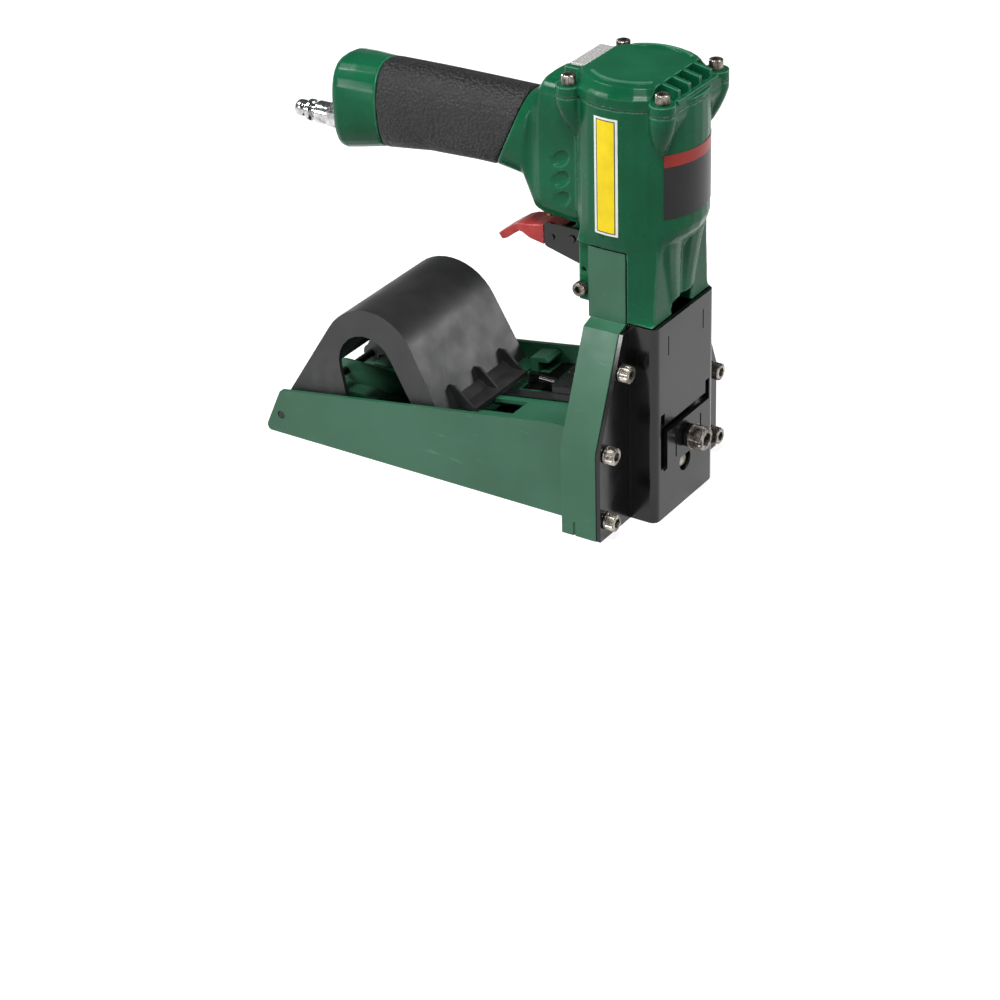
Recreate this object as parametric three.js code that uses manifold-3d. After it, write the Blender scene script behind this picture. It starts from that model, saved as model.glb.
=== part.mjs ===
// Air driven carton closing stapler, roll fed, for closing the top flaps of a carton.
// Lengths in millimetres. X is across the tool, Y runs from the nose back to the air
// connector, Z is up. The origin is at the foot of the nose, between the two columns.
import * as THREE from 'three';
import { mergeVertices } from 'three/addons/utils/BufferGeometryUtils.js';
import Module from 'manifold-3d';

const wasm = await Module();
wasm.setup();

// Driving dimensions
const seat_gap = 0.3;
const run_gap = 0.2;
const cut_over = 1;
const round_sides = 32;
const screw_sides = 16;
const pin_sides = 20;
const corner_steps = 3;

// Governing sizes: the columns, the guide blocks between them and the barrel above
const column_half_width = 62;
const guide_half_width = 27;
const barrel_radius = 34.5;
const barrel_y = 7.5;
const barrel_wall = 7.1;
const front_sheet = 2.5;
const guide_side_gap = 1.1;
const front_half_width = guide_half_width + guide_side_gap + front_sheet;
const barrel_front_y = barrel_y - barrel_radius;
const barrel_rear_y = barrel_y + barrel_radius;
const bore_radius = barrel_radius - barrel_wall;

// Two columns and the plates that carry the cylinder
const column_depth = 20.9;
const column_wall = 14;
const column_bend_z = 51.6;
const column_bend_inner_z = 47;
const strap_step = 0.1;
const strap_half_width = front_half_width + strap_step;
const shoulder_step = 7.1;
const shoulder_half_width = strap_half_width + shoulder_step;
const shoulder_z = 110.6;
const strap_wall = 4.6;
const strap_low_z = 112.9;
const strap_top_z = 152.7;
const strap_depth = 22;
const frame_web_wall = 5;
const frame_web_low_z = 60;
const frame_web_top_z = 111.6;
const foot_notch_width = 1.2;
const foot_notch_depth = 0.8;
const foot_notch_height = 8;
const foot_notch_share = 0.6;

// Black sheet front of the nose, folded to a channel with two flanges
const front_face_y = -18;
const front_top_z = 113.6;
const front_bend = 4;
const flange_inset = 0.6;
const window_side = 5.2;
const window_half_width = front_half_width - window_side;
const window_low_z = 30.4;
const window_top_z = 55.2;
const ear_width = 4;
const ear_top_z = 62.3;
const tongue_side_gap = 3.4;
const tongue_half_width = window_half_width - tongue_side_gap;
const tongue_top_z = 52.1;
const tongue_proud = 2;
const tongue_rib_half_gap = 13.5;
const tongue_rib_width = 1.2;
const tongue_rib_length = 14;
const tongue_rib_depth = 0.7;
const access_hole_radius = 5.8;
const access_hole_z = 24.6;
const stamped_bar_width = 0.9;
const stamped_bar_length = 11;
const stamped_bar_depth = 0.4;
const stamped_bar_x = 18;
const stamped_bar_z = 100;

// Clinch adjusting screw
const adjuster_z = 40.4;
const adjuster_thread_radius = 4;
const adjuster_head_radius = 6.6;
const adjuster_head_height = 7.1;
const adjuster_socket_radius = 3.4;
const adjuster_socket_depth = 4;
const adjuster_washer_radius = 6.2;
const adjuster_washer_wall = 0.9;
const lock_nut_flats = 12.4;
const lock_nut_height = 2.6;
const adjuster_thread_length = 15;

// Flange screws of the front plate
const flange_screw_head_radius = 4.7;
const flange_screw_head_height = 4.6;
const flange_screw_radius = 2.9;
const flange_screw_length = 14;
const flange_screw_edge = 6.9;
const flange_screw_x = column_half_width - flange_screw_edge;
const flange_screw_low_z = 10.4;
const flange_screw_mid_z = 49.8;
const flange_screw_top_edge = 6.4;
const flange_screw_top_z = 90.4;
const column_slope = (column_half_width - shoulder_half_width) / (shoulder_z - column_bend_z);
const flange_screw_top_x = shoulder_half_width + column_slope * (shoulder_z - flange_screw_top_z)
  - flange_screw_top_edge;
const spring_washer_radius = 4.8;
const spring_washer_wall = 1.2;
const socket_share = 0.5;
const socket_depth_share = 0.55;

// Driver blade and its guides
const blade_side = 9.6;
const blade_half_width = guide_half_width - blade_side;
const blade_wall = 2;
const blade_tip_z = 44;
const guide_top_z = 98;
const guide_rear_wall = 6.4;
const guide_face_wall = 1.4;
const guide_block_front_y = -14.6;
const feed_slot_low_z = 26;
const feed_slot_high_z = 38;
const guide_pocket_side = 8;
const guide_pocket_half_width = guide_half_width - guide_pocket_side;
const guide_pocket_low_z = 52;
const guide_pocket_high_z = 92;
const guide_pocket_depth = 9;
const guide_screw_radius = 4.6;
const guide_screw_dome = 1.5;

// Clinching anvils
const anvil_pivot_edge = 7;
const anvil_pivot_x = guide_half_width - anvil_pivot_edge;
const anvil_pivot_z = 16;
const anvil_wall = 4;
const anvil_front_y = 0.6;
const anvil_side_gap = 2.8;
const anvil_reach = column_half_width - column_wall - anvil_pivot_x - anvil_side_gap;
const anvil_shoe_wall = 4;
const anvil_shoe_depth = 10.2;
const anvil_eye_radius = 6;
const anvil_arm_share = 0.62;
const anvil_rest_deg = 72;
const anvil_shoe_half_deg = 11;
const anvil_pin_radius = 3;
const anvil_slot_top_z = 46;

// Cylinder casting
const barrel_top_z = 231.3;
const barrel_low_z = 166;
const bore_floor_z = 159;
const nose_half_width = front_half_width;
const nose_front_y = -15.5;
const nose_rear_y = 29.4;
const nose_top_z = 148;
const nose_low_z = 114;
const nose_rear_low_z = 120;
const nose_rear_inset = 2.6;
const nose_rear_half_width = nose_half_width - nose_rear_inset;
const nose_foot_inset = 0.2;
const nose_foot_front_y = -15.9;
const nose_bend_height_share = 0.4;
const nose_bend_inset_share = 0.6;
const nose_flare_z = 117;
const nose_flare_inset = 2.9;
const nose_flare_front_y = -15.2;
const nose_top_inset = 5.2;
const nose_top_front_y = -15.8;
const nose_edge_steps = [4, 3, 8, 3, 4, 8];
const nose_blend_steps = 4;
const strap_pocket_gap = 0.8;
const ridge_low_z = 118.4;
const ridge_top_z = 154;
const ridge_end_z = 160;
const ridge_steps = 4;
const ridge_low_foot_x = 11.5;
const ridge_top_foot_x = 23;
const ridge_low_outer_x = 9.4;
const ridge_top_outer_x = 17.8;
const ridge_low_inner_x = 2.6;
const ridge_top_inner_x = 5.9;
const ridge_low_height = 0.7;
const ridge_top_height = 3.2;
const ridge_crown = 0.5;
const ridge_groove_half_width = 0.6;
const notch_half_width = 10;
const notch_height = 8;
const notch_depth = 12;
const boss_side = 7.8;
const boss_x = barrel_radius - boss_side;
const boss_front_inset = 7.5;
const boss_front_y = barrel_front_y + boss_front_inset;
const boss_rear_inset = 7.4;
const boss_rear_y = barrel_rear_y - boss_rear_inset;
const boss_radius = 6.8;
const boss_straight = 4;
const boss_taper = 21;
const boss_steps = 4;
const boss_tip_share = 0.25;
const boss_tip_pull = 0.16;
const web_inset = 2.1;
const web_front_y = barrel_front_y + web_inset;
const web_straight = 4;
const web_taper = 13;

// Neck, trigger housing and handle core
const handle_z = 195.7;
const handle_half_width = 18.4;
const handle_half_height = 22.5;
const handle_growth = 4;
const handle_drop = 6.3;
const handle_level_y = 102;
const handle_end_y = 190;
const handle_squareness = 2.2;
const neck_front_squareness = 5;
const neck_squareness = 4.5;
const neck_rear_squareness = 3;
const neck_low_z = 154;
const neck_half_width = 19;
const neck_half_width_low = 16.5;
const neck_corner_y = 63.4;
const neck_corner_rise = 2;
const neck_back_y = 65.6;
const neck_back_rise = 9;
const neck_rear_y = 68;
const neck_rear_rise = 18;
const neck_rear_lean = -4;
const neck_top_y = 58;
const dimple_y = 44.4;
const dimple_z = 180.6;
const dimple_pitch = 11.4;
const dimple_half_length = 6.4;
const dimple_half_width = 3.4;
const dimple_depth = 1.6;
const dimple_tilt_deg = -38;
const air_way_radius = 3.9;
const air_way_front_y = 66;

// Rubber grip and the end cap of the handle
const grip_wall = 2.6;
const grip_front_y = 82;
const grip_front_lean = -10.5;
const grip_front_sag = 4;
const grip_rear_y = 161.5;
const end_cap_rear_y = 190;
const end_lean = 1;
const end_sag = 2.6;
const end_cap_wall = 3;
const end_cap_round = 4;
const end_cap_socket = 9;
const section_points = 28;

// Air connector
const plug_z = 176.9;
const plug_tip_y = 225;
const plug_base_y = 201.6;
const plug_hex_flats = 14;
const plug_ring_radius = 5.7;
const plug_neck_radius = 3.5;
const plug_tip_radius = 4.6;
const plug_thread_radius = 6;
const plug_bore_radius = 2.2;

// Cap, its screws and the plate behind it
const gasket_wall = 0.7;
const cap_overhang = 0.3;
const cap_radius = barrel_radius + cap_overhang;
const cap_skirt_height = 5.2;
const cap_top_inset = 3.9;
const cap_top_radius = barrel_radius - cap_top_inset;
const cap_height = 11;
const cap_cavity_inset = 1;
const cap_cavity_radius = bore_radius - cap_cavity_inset;
const cap_cavity_height = 5;
const cap_ridge_inset = 7.3;
const cap_ridge_radius = barrel_radius - cap_ridge_inset;
const cap_ridge_width = 1.8;
const cap_ridge_height = 1.2;
const cap_ridge_deg = 82;
const cap_boss_height = 4.8;
const cap_flange_height = 5;
const cap_step_setback = 11.9;
const cap_step_y = web_front_y + cap_step_setback;
const fin_pitch = 10.6;
const fin_wall = 2.4;
const fin_setback = 2;
const fin_front_height = 9;
const fin_rear_height = 11;
const cap_tail_half_width = 17;
const cap_tail_length = 8.4;
const cap_tail_rear_y = boss_rear_y + cap_tail_length;
const cap_tail_height = 9.3;
const plate_half_width = 14.6;
const plate_setback = 2.2;
const plate_depth = 8;
const plate_rear_y = cap_tail_rear_y - plate_setback;
const plate_front_y = plate_rear_y - plate_depth;
const plate_wall = 1.4;
const cap_screw_head_radius = 3.7;
const cap_screw_head_height = 5;
const cap_screw_radius = 2.2;
const cap_screw_length = 14;

// Inside the cylinder
const liner_wall = 2.6;
const liner_top_z = 222.4;
const piston_height = 16;
const piston_groove = 3.6;
const piston_groove_depth = 2.4;
const piston_top_z = 221.6;
const piston_skirt_hollow = 9;
const blade_seat_depth = 5;
const bumper_height = 6;
const bumper_wall = 5;
const head_valve_inset = 1.4;
const head_valve_radius = bore_radius - head_valve_inset;
const head_valve_height = 7.2;
const head_valve_bore = 9;

// Trigger, finger lever and valve
const trigger_pivot_y = 44.6;
const trigger_pivot_z = 142.7;
const trigger_pin_radius = 2;
const trigger_half_width = 9.5;
const trigger_sheet = 1.8;
const trigger_front_y = 39.6;
const trigger_rear_y = 61.6;
const trigger_top_z = 148.6;
const trigger_front_low_z = 129.4;
const trigger_rear_low_z = 135.2;
const lever_top_z = 147.8;
const lever_knee_y = 70;
const lever_knee_z = 149;
const lever_dip_y = 80;
const lever_dip_z = 143;
const lever_tip_y = 91;
const lever_tip_z = 132.6;
const lever_tip_radius = 2.6;
const lever_wall = 6.2;
const lever_front_y = 52.5;
const lever_under_z = 136.8;
const lever_pin_y = 57;
const lever_pin_z = 141;
const lever_pin_radius = 1.6;
const lever_tip_half_width = 6.5;
const lug_half_width = 6;
const lug_radius = 5.6;
const valve_y = 63.4;
const valve_bore_radius = 6.4;
const valve_body_radius = 6.1;
const valve_body_height = 20;
const valve_stem_radius = 2;
const valve_stem_head = 3.4;
const valve_stem_height = 19;
const valve_stem_gap = 0.9;

// Side screws at the foot of the casting
const side_screw_y = 27.2;
const side_screw_z = 127;
const side_screw_head_radius = 3.9;
const side_screw_head_height = 4;
const side_screw_radius = 2.1;
const side_screw_length = 9;
const roll_pin_y = 26.4;
const roll_pin_z = 137;
const roll_pin_hole_radius = 1.4;
const roll_pin_hole_depth = 5;

// Magazine tray
const tray_side_gap = 0.5;
const tray_half_width = column_half_width - column_wall - tray_side_gap;
const tray_wall = 2.5;
const tray_front_y = 13;
const tray_rear_y = 224.4;
const tray_top_front_z = 54.4;
const tray_step_z = 45.6;
const tray_top_flat_y = 35;
const tray_top_rear_y = 213.7;
const tray_top_rear_z = 27;
const tray_corner = 3;
const deck_drop = 10.7;
const deck_wall = 2.4;
const deck_front_y = 36;
const deck_rear_y = 110;
const deck_window_x = 6.5;
const deck_window_half_length = 11;
const deck_window_y = 87;
const deck_window_width = 15.5;
const channel_near_x = 4.2;
const channel_side = 20.5;
const channel_far_x = tray_half_width - channel_side;
const channel_depth = 6;
const channel_lip = 0.9;
const pawl_slot_x = (channel_near_x + channel_far_x) / 2;
const pawl_slot_half_width = 4;
const pawl_slot_front_y = 42;
const pawl_slot_rear_y = 84;
const strip_room = 1.6;
const hinge_y = 214;
const hinge_z = 11.5;
const hinge_pin_radius = 2.2;

// Roll guide between the tray's walls
const roll_guide_half_width = 17.3;
const roll_guide_wall = 2;
const roll_guide_front_y = 17.4;
const roll_guide_low_top_z = 18;
const roll_guide_step_y = 108;
const roll_guide_eye = 7;
const track_wall = 2;
const track_rear_y = 100;
const track_lip = 8;

// Feed slide on the staple track
const feed_side_gap = 0.8;
const feed_half_width = (channel_far_x - channel_near_x) / 2 - feed_side_gap;
const feed_front_y = 46;
const feed_length = 22;
const feed_top_z = 55.4;
const feed_step = 5;
const feed_slot_width = 5;
const feed_rod_radius = 2;
const feed_rod_length = 14;
const pawl_drop = 3.4;
const pawl_gap = 0.8;

// Roll cover
const cover_side_gap = 4.5;
const cover_half_width = tray_half_width - cover_side_gap;
const cover_wall = 2.5;
const cover_arc_y = 155.4;
const cover_arc_z = 55.4;
const cover_draft = 3;
const cover_top_z = 86;
const cover_arc_radius = 31;
const cover_front_foot_y = 109;
const cover_rear_foot_y = 210;
const cover_rear_foot_z = 26;
const cover_arc_steps = 14;
const lip_front_y = 97;
const lip_wall = 2.2;
const lip_half_width = 25.8;
const lip_fillet = 6;
const gusset_wall = 1.6;
const gusset_height = 10.6;
const gusset_setback = 2.6;
const gusset_pitch = 25;
const arch_y = 158;
const arch_z = 53;
const arch_radius = 18;
const arch_front_foot_y = 124.5;
const arch_rear_foot_y = 165;
const arch_steps = 10;
const cover_lug_radius = 5.4;
const cover_leg_front_y = 192;

// Cover catch on the far deck
const catch_side = 10.3;
const catch_x = tray_half_width - catch_side;
const catch_half_width = 6.6;
const catch_front_y = 86;
const catch_length = 12;
const catch_wall = 2.6;
const catch_post_length = 5;
const catch_pin_radius = 1.5;
const catch_lift = 5.6;

// Geometry tools
const tau = Math.PI * 2;
const half_turn = 180;

function radians(degrees) {
  return (degrees * Math.PI) / half_turn;
}

function solid(geometry) {
  const bare = geometry.clone();
  bare.deleteAttribute('normal');
  bare.deleteAttribute('uv');
  const merged = mergeVertices(bare);
  const corners = merged.index.array;
  const kept = [];
  for (let i = 0; i < corners.length; i += 3) {
    const [a, b, c] = [corners[i], corners[i + 1], corners[i + 2]];
    if (a !== b && b !== c && c !== a) kept.push(a, b, c);
  }
  return new wasm.Manifold(new wasm.Mesh({
    numProp: 3,
    vertProperties: new Float32Array(merged.attributes.position.array),
    triVerts: new Uint32Array(kept),
  }));
}

function join(parts) {
  return parts.reduce((sum, part) => sum.add(part));
}

function block(x_low, x_high, y_low, y_high, z_low, z_high) {
  const box = new THREE.BoxGeometry(x_high - x_low, y_high - y_low, z_high - z_low);
  box.translate((x_low + x_high) / 2, (y_low + y_high) / 2, (z_low + z_high) / 2);
  return solid(box);
}

// A basis whose third axis is the way along which a shape is drawn out
const bases = {
  x: new THREE.Matrix4().makeBasis(
    new THREE.Vector3(0, 1, 0), new THREE.Vector3(0, 0, 1), new THREE.Vector3(1, 0, 0)),
  y: new THREE.Matrix4().makeBasis(
    new THREE.Vector3(0, 0, 1), new THREE.Vector3(1, 0, 0), new THREE.Vector3(0, 1, 0)),
  z: new THREE.Matrix4(),
};

// Outline points are (y, z) along x, (z, x) along y and (x, y) along z
function prism(axis, outline, low, high) {
  const shape = new THREE.Shape(outline.map(([u, v]) => new THREE.Vector2(u, v)));
  const geometry = new THREE.ExtrudeGeometry(shape, { depth: high - low, bevelEnabled: false });
  geometry.translate(0, 0, low);
  geometry.applyMatrix4(bases[axis]);
  return solid(geometry);
}

function rod(axis, radius, u, v, low, high, sides = round_sides, far_radius = radius) {
  const geometry = new THREE.CylinderGeometry(far_radius, radius, high - low, sides);
  geometry.rotateX(Math.PI / 2);
  geometry.translate(u, v, (low + high) / 2);
  geometry.applyMatrix4(bases[axis]);
  return solid(geometry);
}

function arc(u, v, radius, from_deg, to_deg, steps) {
  const points = [];
  for (let i = 0; i <= steps; i += 1) {
    const angle = radians(from_deg + ((to_deg - from_deg) * i) / steps);
    points.push([u + radius * Math.cos(angle), v + radius * Math.sin(angle)]);
  }
  return points;
}

function rounded_outline(corners, radius) {
  const points = [];
  const count = corners.length;
  corners.forEach((corner, i) => {
    const here = new THREE.Vector2(...corner);
    const before = new THREE.Vector2(...corners[(i + count - 1) % count]);
    const after = new THREE.Vector2(...corners[(i + 1) % count]);
    const reach = Math.min(radius, here.distanceTo(before) / 2, here.distanceTo(after) / 2);
    const start = here.clone().lerp(before, reach / here.distanceTo(before));
    const end = here.clone().lerp(after, reach / here.distanceTo(after));
    const curve = new THREE.QuadraticBezierCurve(start, here, end);
    curve.getPoints(corner_steps).forEach((point) => points.push([point.x, point.y]));
  });
  return points;
}

function turned(profile, x, y, sides = round_sides) {
  const points = profile.map(([r, z]) => new THREE.Vector2(r, z));
  const geometry = new THREE.LatheGeometry(points, sides);
  geometry.rotateX(Math.PI / 2);
  geometry.translate(x, y, 0);
  return solid(geometry);
}

// Rings of equal length, joined one to the next and closed with a fan at both ends
function loft(rings) {
  const count = rings[0].length;
  const positions = rings.flat().flatMap((point) => point.toArray());
  const faces = [];
  for (let k = 0; k + 1 < rings.length; k += 1) {
    for (let i = 0; i < count; i += 1) {
      const a = k * count + i;
      const b = k * count + ((i + 1) % count);
      faces.push(a, b, b + count, a, b + count, a + count);
    }
  }
  [rings[0], rings[rings.length - 1]].forEach((ring, end) => {
    const middle = ring.reduce((sum, point) => sum.clone().add(point)).divideScalar(count);
    const hub = positions.length / 3;
    positions.push(...middle.toArray());
    const base = end * (rings.length - 1) * count;
    for (let i = 0; i < count; i += 1) {
      const a = base + i;
      const b = base + ((i + 1) % count);
      faces.push(...(end ? [a, b, hub] : [b, a, hub]));
    }
  });
  const geometry = new THREE.BufferGeometry();
  geometry.setAttribute('position', new THREE.Float32BufferAttribute(positions, 3));
  geometry.setIndex(faces);
  return solid(geometry);
}

// Points of a squared-off oval; a squareness of 2 is an ellipse
function oval(half_u, half_v, squareness, count) {
  const points = [];
  for (let i = 0; i < count; i += 1) {
    const angle = (tau * i) / count;
    const [c, s] = [Math.cos(angle), Math.sin(angle)];
    const u = half_u * Math.sign(c) * Math.abs(c) ** (2 / squareness);
    const v = half_v * Math.sign(s) * Math.abs(s) ** (2 / squareness);
    points.push([u, v]);
  }
  return points;
}

function mirror(body) {
  return body.mirror([1, 0, 0]);
}

// Hexagon with its flats a given distance apart
function hexagon(flats, u, v) {
  const corner = flats / Math.sqrt(3);
  return arc(u, v, corner, 0, 300, 5);
}

// Socket screw along an axis: the head spans head_low to head_high, the shank follows
function socket_screw(axis, u, v, head_low, head_high, radius, shank_radius, shank_length, face) {
  const head = rod(axis, radius, u, v, head_low, head_high, screw_sides);
  const height = head_high - head_low;
  const socket = hexagon(radius * 2 * socket_share, u, v);
  const depth = height * socket_depth_share;
  const [cut_low, cut_high] = face > 0 ? [head_high - depth, head_high + cut_over]
    : [head_low - cut_over, head_low + depth];
  const [shank_low, shank_high] = face > 0 ? [head_low - shank_length, head_low + height / 2]
    : [head_high - height / 2, head_high + shank_length];
  const shank = rod(axis, shank_radius, u, v, shank_low, shank_high, screw_sides);
  return head.add(shank).subtract(prism(axis, socket, cut_low, cut_high));
}

// Finishes
const green_paint = new THREE.MeshStandardMaterial({ color: 0x1c5b3a, roughness: 0.42, metalness: 0.15 });
const black_paint = new THREE.MeshStandardMaterial({ color: 0x2a2a2b, roughness: 0.55, metalness: 0.25 });
const black_plastic = new THREE.MeshStandardMaterial({ color: 0x38383a, roughness: 0.6, metalness: 0 });
const black_rubber = new THREE.MeshStandardMaterial({ color: 0x262628, roughness: 0.75, metalness: 0 });
const red_plastic = new THREE.MeshStandardMaterial({ color: 0xc22a26, roughness: 0.45, metalness: 0 });
const bright_steel = new THREE.MeshStandardMaterial({ color: 0xa8a49c, roughness: 0.3, metalness: 0.9 });
const tool_steel = new THREE.MeshStandardMaterial({ color: 0x77767a, roughness: 0.4, metalness: 0.85 });
const brass = new THREE.MeshStandardMaterial({ color: 0xb08a3c, roughness: 0.35, metalness: 0.85 });
const aluminium = new THREE.MeshStandardMaterial({ color: 0xb4b6b6, roughness: 0.45, metalness: 0.8 });

const stapler = new THREE.Group();

function piece(name, body, material) {
  const made = body.getMesh();
  const geometry = new THREE.BufferGeometry();
  geometry.setAttribute('position', new THREE.BufferAttribute(new Float32Array(made.vertProperties), 3));
  geometry.setIndex(new THREE.BufferAttribute(new Uint32Array(made.triVerts), 1));
  geometry.computeVertexNormals();
  const mesh = new THREE.Mesh(geometry, material);
  mesh.name = name;
  stapler.add(mesh);
}

// Places that several pieces share
const blade_front_y = barrel_y - blade_wall / 2;
const blade_rear_y = barrel_y + blade_wall / 2;
const gasket_top_z = barrel_top_z + gasket_wall;
const column_inner = column_half_width - column_wall;
const strap_inner = strap_half_width - strap_wall;
const flange_front_y = -front_sheet;
const tray_inner = tray_half_width - tray_wall;
const tray_slope = (tray_top_rear_z - tray_top_front_z) / (tray_top_rear_y - tray_top_flat_y);

function tray_top(y) {
  return tray_top_front_z + tray_slope * Math.max(0, y - tray_top_flat_y);
}

function deck_top(y) {
  return tray_top(y) - deck_drop;
}

// Half outline of a column seen from the front, as (z, x)
function column_outline(inset) {
  return [
    [0, column_half_width - inset],
    [column_bend_z, column_half_width - inset],
    [shoulder_z, shoulder_half_width - inset],
    [strap_low_z, strap_half_width - inset],
  ];
}

function flange_screw_places() {
  const near = [[flange_screw_x, flange_screw_low_z], [flange_screw_x, flange_screw_mid_z],
    [flange_screw_top_x, flange_screw_top_z]];
  return [...near.map(([x, z]) => [-x, z]), ...near];
}

function main_frame() {
  const outer = [...column_outline(0), [strap_top_z, strap_half_width]];
  const inner = [
    [strap_top_z, strap_inner], [frame_web_top_z, strap_inner],
    [column_bend_inner_z, column_inner], [0, column_inner],
  ];
  const column = prism('y', [...outer, ...inner], 0, column_depth);
  const strap = block(strap_inner, strap_half_width, 0, strap_depth, strap_low_z, strap_top_z);
  const notch_y = column_depth * foot_notch_share;
  const notch = block(
    column_half_width - foot_notch_depth, column_half_width + cut_over,
    notch_y, notch_y + foot_notch_width, -cut_over, foot_notch_height,
  );
  const side = column.add(strap).subtract(notch);
  const web_low_half = column_half_width - column_slope * (frame_web_low_z - column_bend_z) - strap_wall;
  const web_high_half = column_half_width - column_slope * (frame_web_top_z - column_bend_z) - strap_wall;
  const web = prism('y', [
    [frame_web_low_z, -web_low_half], [frame_web_top_z, -web_high_half],
    [frame_web_top_z, web_high_half], [frame_web_low_z, web_low_half],
  ], column_depth - frame_web_wall, column_depth);
  const holes = flange_screw_places().map(([x, z]) => rod(
    'y', flange_screw_radius + run_gap, z, x, -cut_over, flange_screw_length, screw_sides));
  return join([side, mirror(side), web]).subtract(join(holes));
}

function front_plate() {
  const inner_half = front_half_width - front_sheet;
  const back_y = front_face_y + front_sheet;
  const left_bend = arc(-front_half_width + front_bend, front_face_y + front_bend, front_bend,
    half_turn, half_turn * 1.5, corner_steps);
  const right_bend = arc(front_half_width - front_bend, front_face_y + front_bend, front_bend,
    half_turn * 1.5, half_turn * 2, corner_steps);
  const channel = prism('z', [
    [-front_half_width, 0], ...left_bend, ...right_bend, [front_half_width, 0],
    [inner_half, 0], [inner_half, back_y + front_bend - front_sheet],
    [inner_half - front_bend + front_sheet, back_y], [-inner_half + front_bend - front_sheet, back_y],
    [-inner_half, back_y + front_bend - front_sheet], [-inner_half, 0],
  ], 0, front_top_z);
  const edge = column_outline(flange_inset);
  const flange_half = prism('y', [
    ...edge.slice(0, 3), [shoulder_z, inner_half], [0, inner_half],
  ], flange_front_y, 0);
  const sheet = join([channel, flange_half, mirror(flange_half)]);
  const window = block(-window_half_width, window_half_width, front_face_y - cut_over, back_y + cut_over,
    window_low_z, window_top_z);
  const ears = [-window_half_width, window_half_width - ear_width].map((x) => block(
    x, x + ear_width, front_face_y - cut_over, back_y + cut_over, window_low_z, ear_top_z));
  const access = rod('y', access_hole_radius, access_hole_z, 0, front_face_y - cut_over, back_y + cut_over);
  const screw_holes = flange_screw_places().map(([x, z]) => rod(
    'y', flange_screw_radius + run_gap, z, x, flange_front_y - cut_over, cut_over, screw_sides));
  const bars = [-stamped_bar_x, stamped_bar_x].map((x) => block(
    x, x + stamped_bar_width, front_face_y - cut_over, front_face_y + stamped_bar_depth,
    stamped_bar_z - stamped_bar_length / 2, stamped_bar_z + stamped_bar_length / 2));
  const cut_sheet = sheet.subtract(join([window, ...ears, access, ...screw_holes, ...bars]));
  const tongue_face_y = front_face_y - tongue_proud;
  const tongue = prism('x', [
    [front_face_y, window_low_z - front_sheet], [tongue_face_y, window_low_z],
    [tongue_face_y, tongue_top_z], [tongue_face_y + front_sheet, tongue_top_z],
    [tongue_face_y + front_sheet, window_low_z + front_sheet], [back_y, window_low_z],
    [back_y, window_low_z - front_sheet],
  ], -tongue_half_width, tongue_half_width);
  const thread = rod('y', adjuster_thread_radius + run_gap, adjuster_z, 0,
    tongue_face_y - cut_over, back_y + cut_over, screw_sides);
  const ribs = [-tongue_rib_half_gap, tongue_rib_half_gap - tongue_rib_width].map((x) => block(
    x, x + tongue_rib_width, tongue_face_y - cut_over, tongue_face_y + tongue_rib_depth,
    adjuster_z - tongue_rib_length / 2, adjuster_z + tongue_rib_length / 2));
  return cut_sheet.add(tongue.subtract(join([thread, ...ribs, access])));
}

function lock_nut() {
  const back = front_face_y - tongue_proud - seat_gap;
  const nut = prism('y', hexagon(lock_nut_flats, adjuster_z, 0), back - lock_nut_height, back);
  const hole = rod('y', adjuster_thread_radius + run_gap, adjuster_z, 0,
    back - lock_nut_height - cut_over, back + cut_over, screw_sides);
  return nut.subtract(hole);
}

function adjuster_screw() {
  const nut_front = front_face_y - tongue_proud - seat_gap - lock_nut_height;
  const washer_back = nut_front - seat_gap;
  const washer = rod('y', adjuster_washer_radius, adjuster_z, 0,
    washer_back - adjuster_washer_wall, washer_back);
  const head_back = washer_back - adjuster_washer_wall;
  const head = rod('y', adjuster_head_radius, adjuster_z, 0, head_back - adjuster_head_height, head_back);
  const thread = rod('y', adjuster_thread_radius, adjuster_z, 0,
    head_back - cut_over, washer_back + adjuster_thread_length - adjuster_washer_wall, screw_sides);
  const socket = prism('y', hexagon(adjuster_socket_radius * 2, adjuster_z, 0),
    head_back - adjuster_head_height - cut_over,
    head_back - adjuster_head_height + adjuster_socket_depth);
  return join([head, washer, thread]).subtract(socket);
}

function flange_screw(x, z) {
  const head_back = flange_front_y - seat_gap - spring_washer_wall - seat_gap;
  return socket_screw('y', z, x, head_back - flange_screw_head_height, head_back,
    flange_screw_head_radius, flange_screw_radius, flange_screw_length, -1);
}

function spring_washer(x, z) {
  const back = flange_front_y - seat_gap;
  const ring = rod('y', spring_washer_radius, z, x, back - spring_washer_wall, back, screw_sides);
  const hole = rod('y', flange_screw_radius + run_gap, z, x,
    back - spring_washer_wall - cut_over, back + cut_over, screw_sides);
  return ring.subtract(hole);
}

// Block behind the front plate that carries the anvil pins and guides the blade in front
function driver_guide_front() {
  const face_y = blade_front_y - seat_gap;
  const body = block(-guide_half_width, guide_half_width, guide_block_front_y, face_y, 0, guide_top_z);
  const slot = block(-guide_half_width - cut_over, guide_half_width + cut_over,
    anvil_front_y - seat_gap, face_y - guide_face_wall, -cut_over, anvil_slot_top_z);
  const pocket = block(-guide_pocket_half_width, guide_pocket_half_width,
    guide_block_front_y - cut_over, guide_block_front_y + guide_pocket_depth,
    guide_pocket_low_z, guide_pocket_high_z);
  const thread_well = rod('y', adjuster_thread_radius + run_gap * 2, adjuster_z, 0,
    guide_block_front_y - cut_over, guide_block_front_y + adjuster_thread_length, screw_sides);
  const pins = [-anvil_pivot_x, anvil_pivot_x].map((x) => rod('y', anvil_pin_radius + run_gap,
    anvil_pivot_z, x, guide_block_front_y - cut_over, face_y + cut_over, pin_sides));
  const dome = turned_screw_head();
  return body.subtract(join([slot, pocket, thread_well, ...pins])).add(dome);
}

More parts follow.
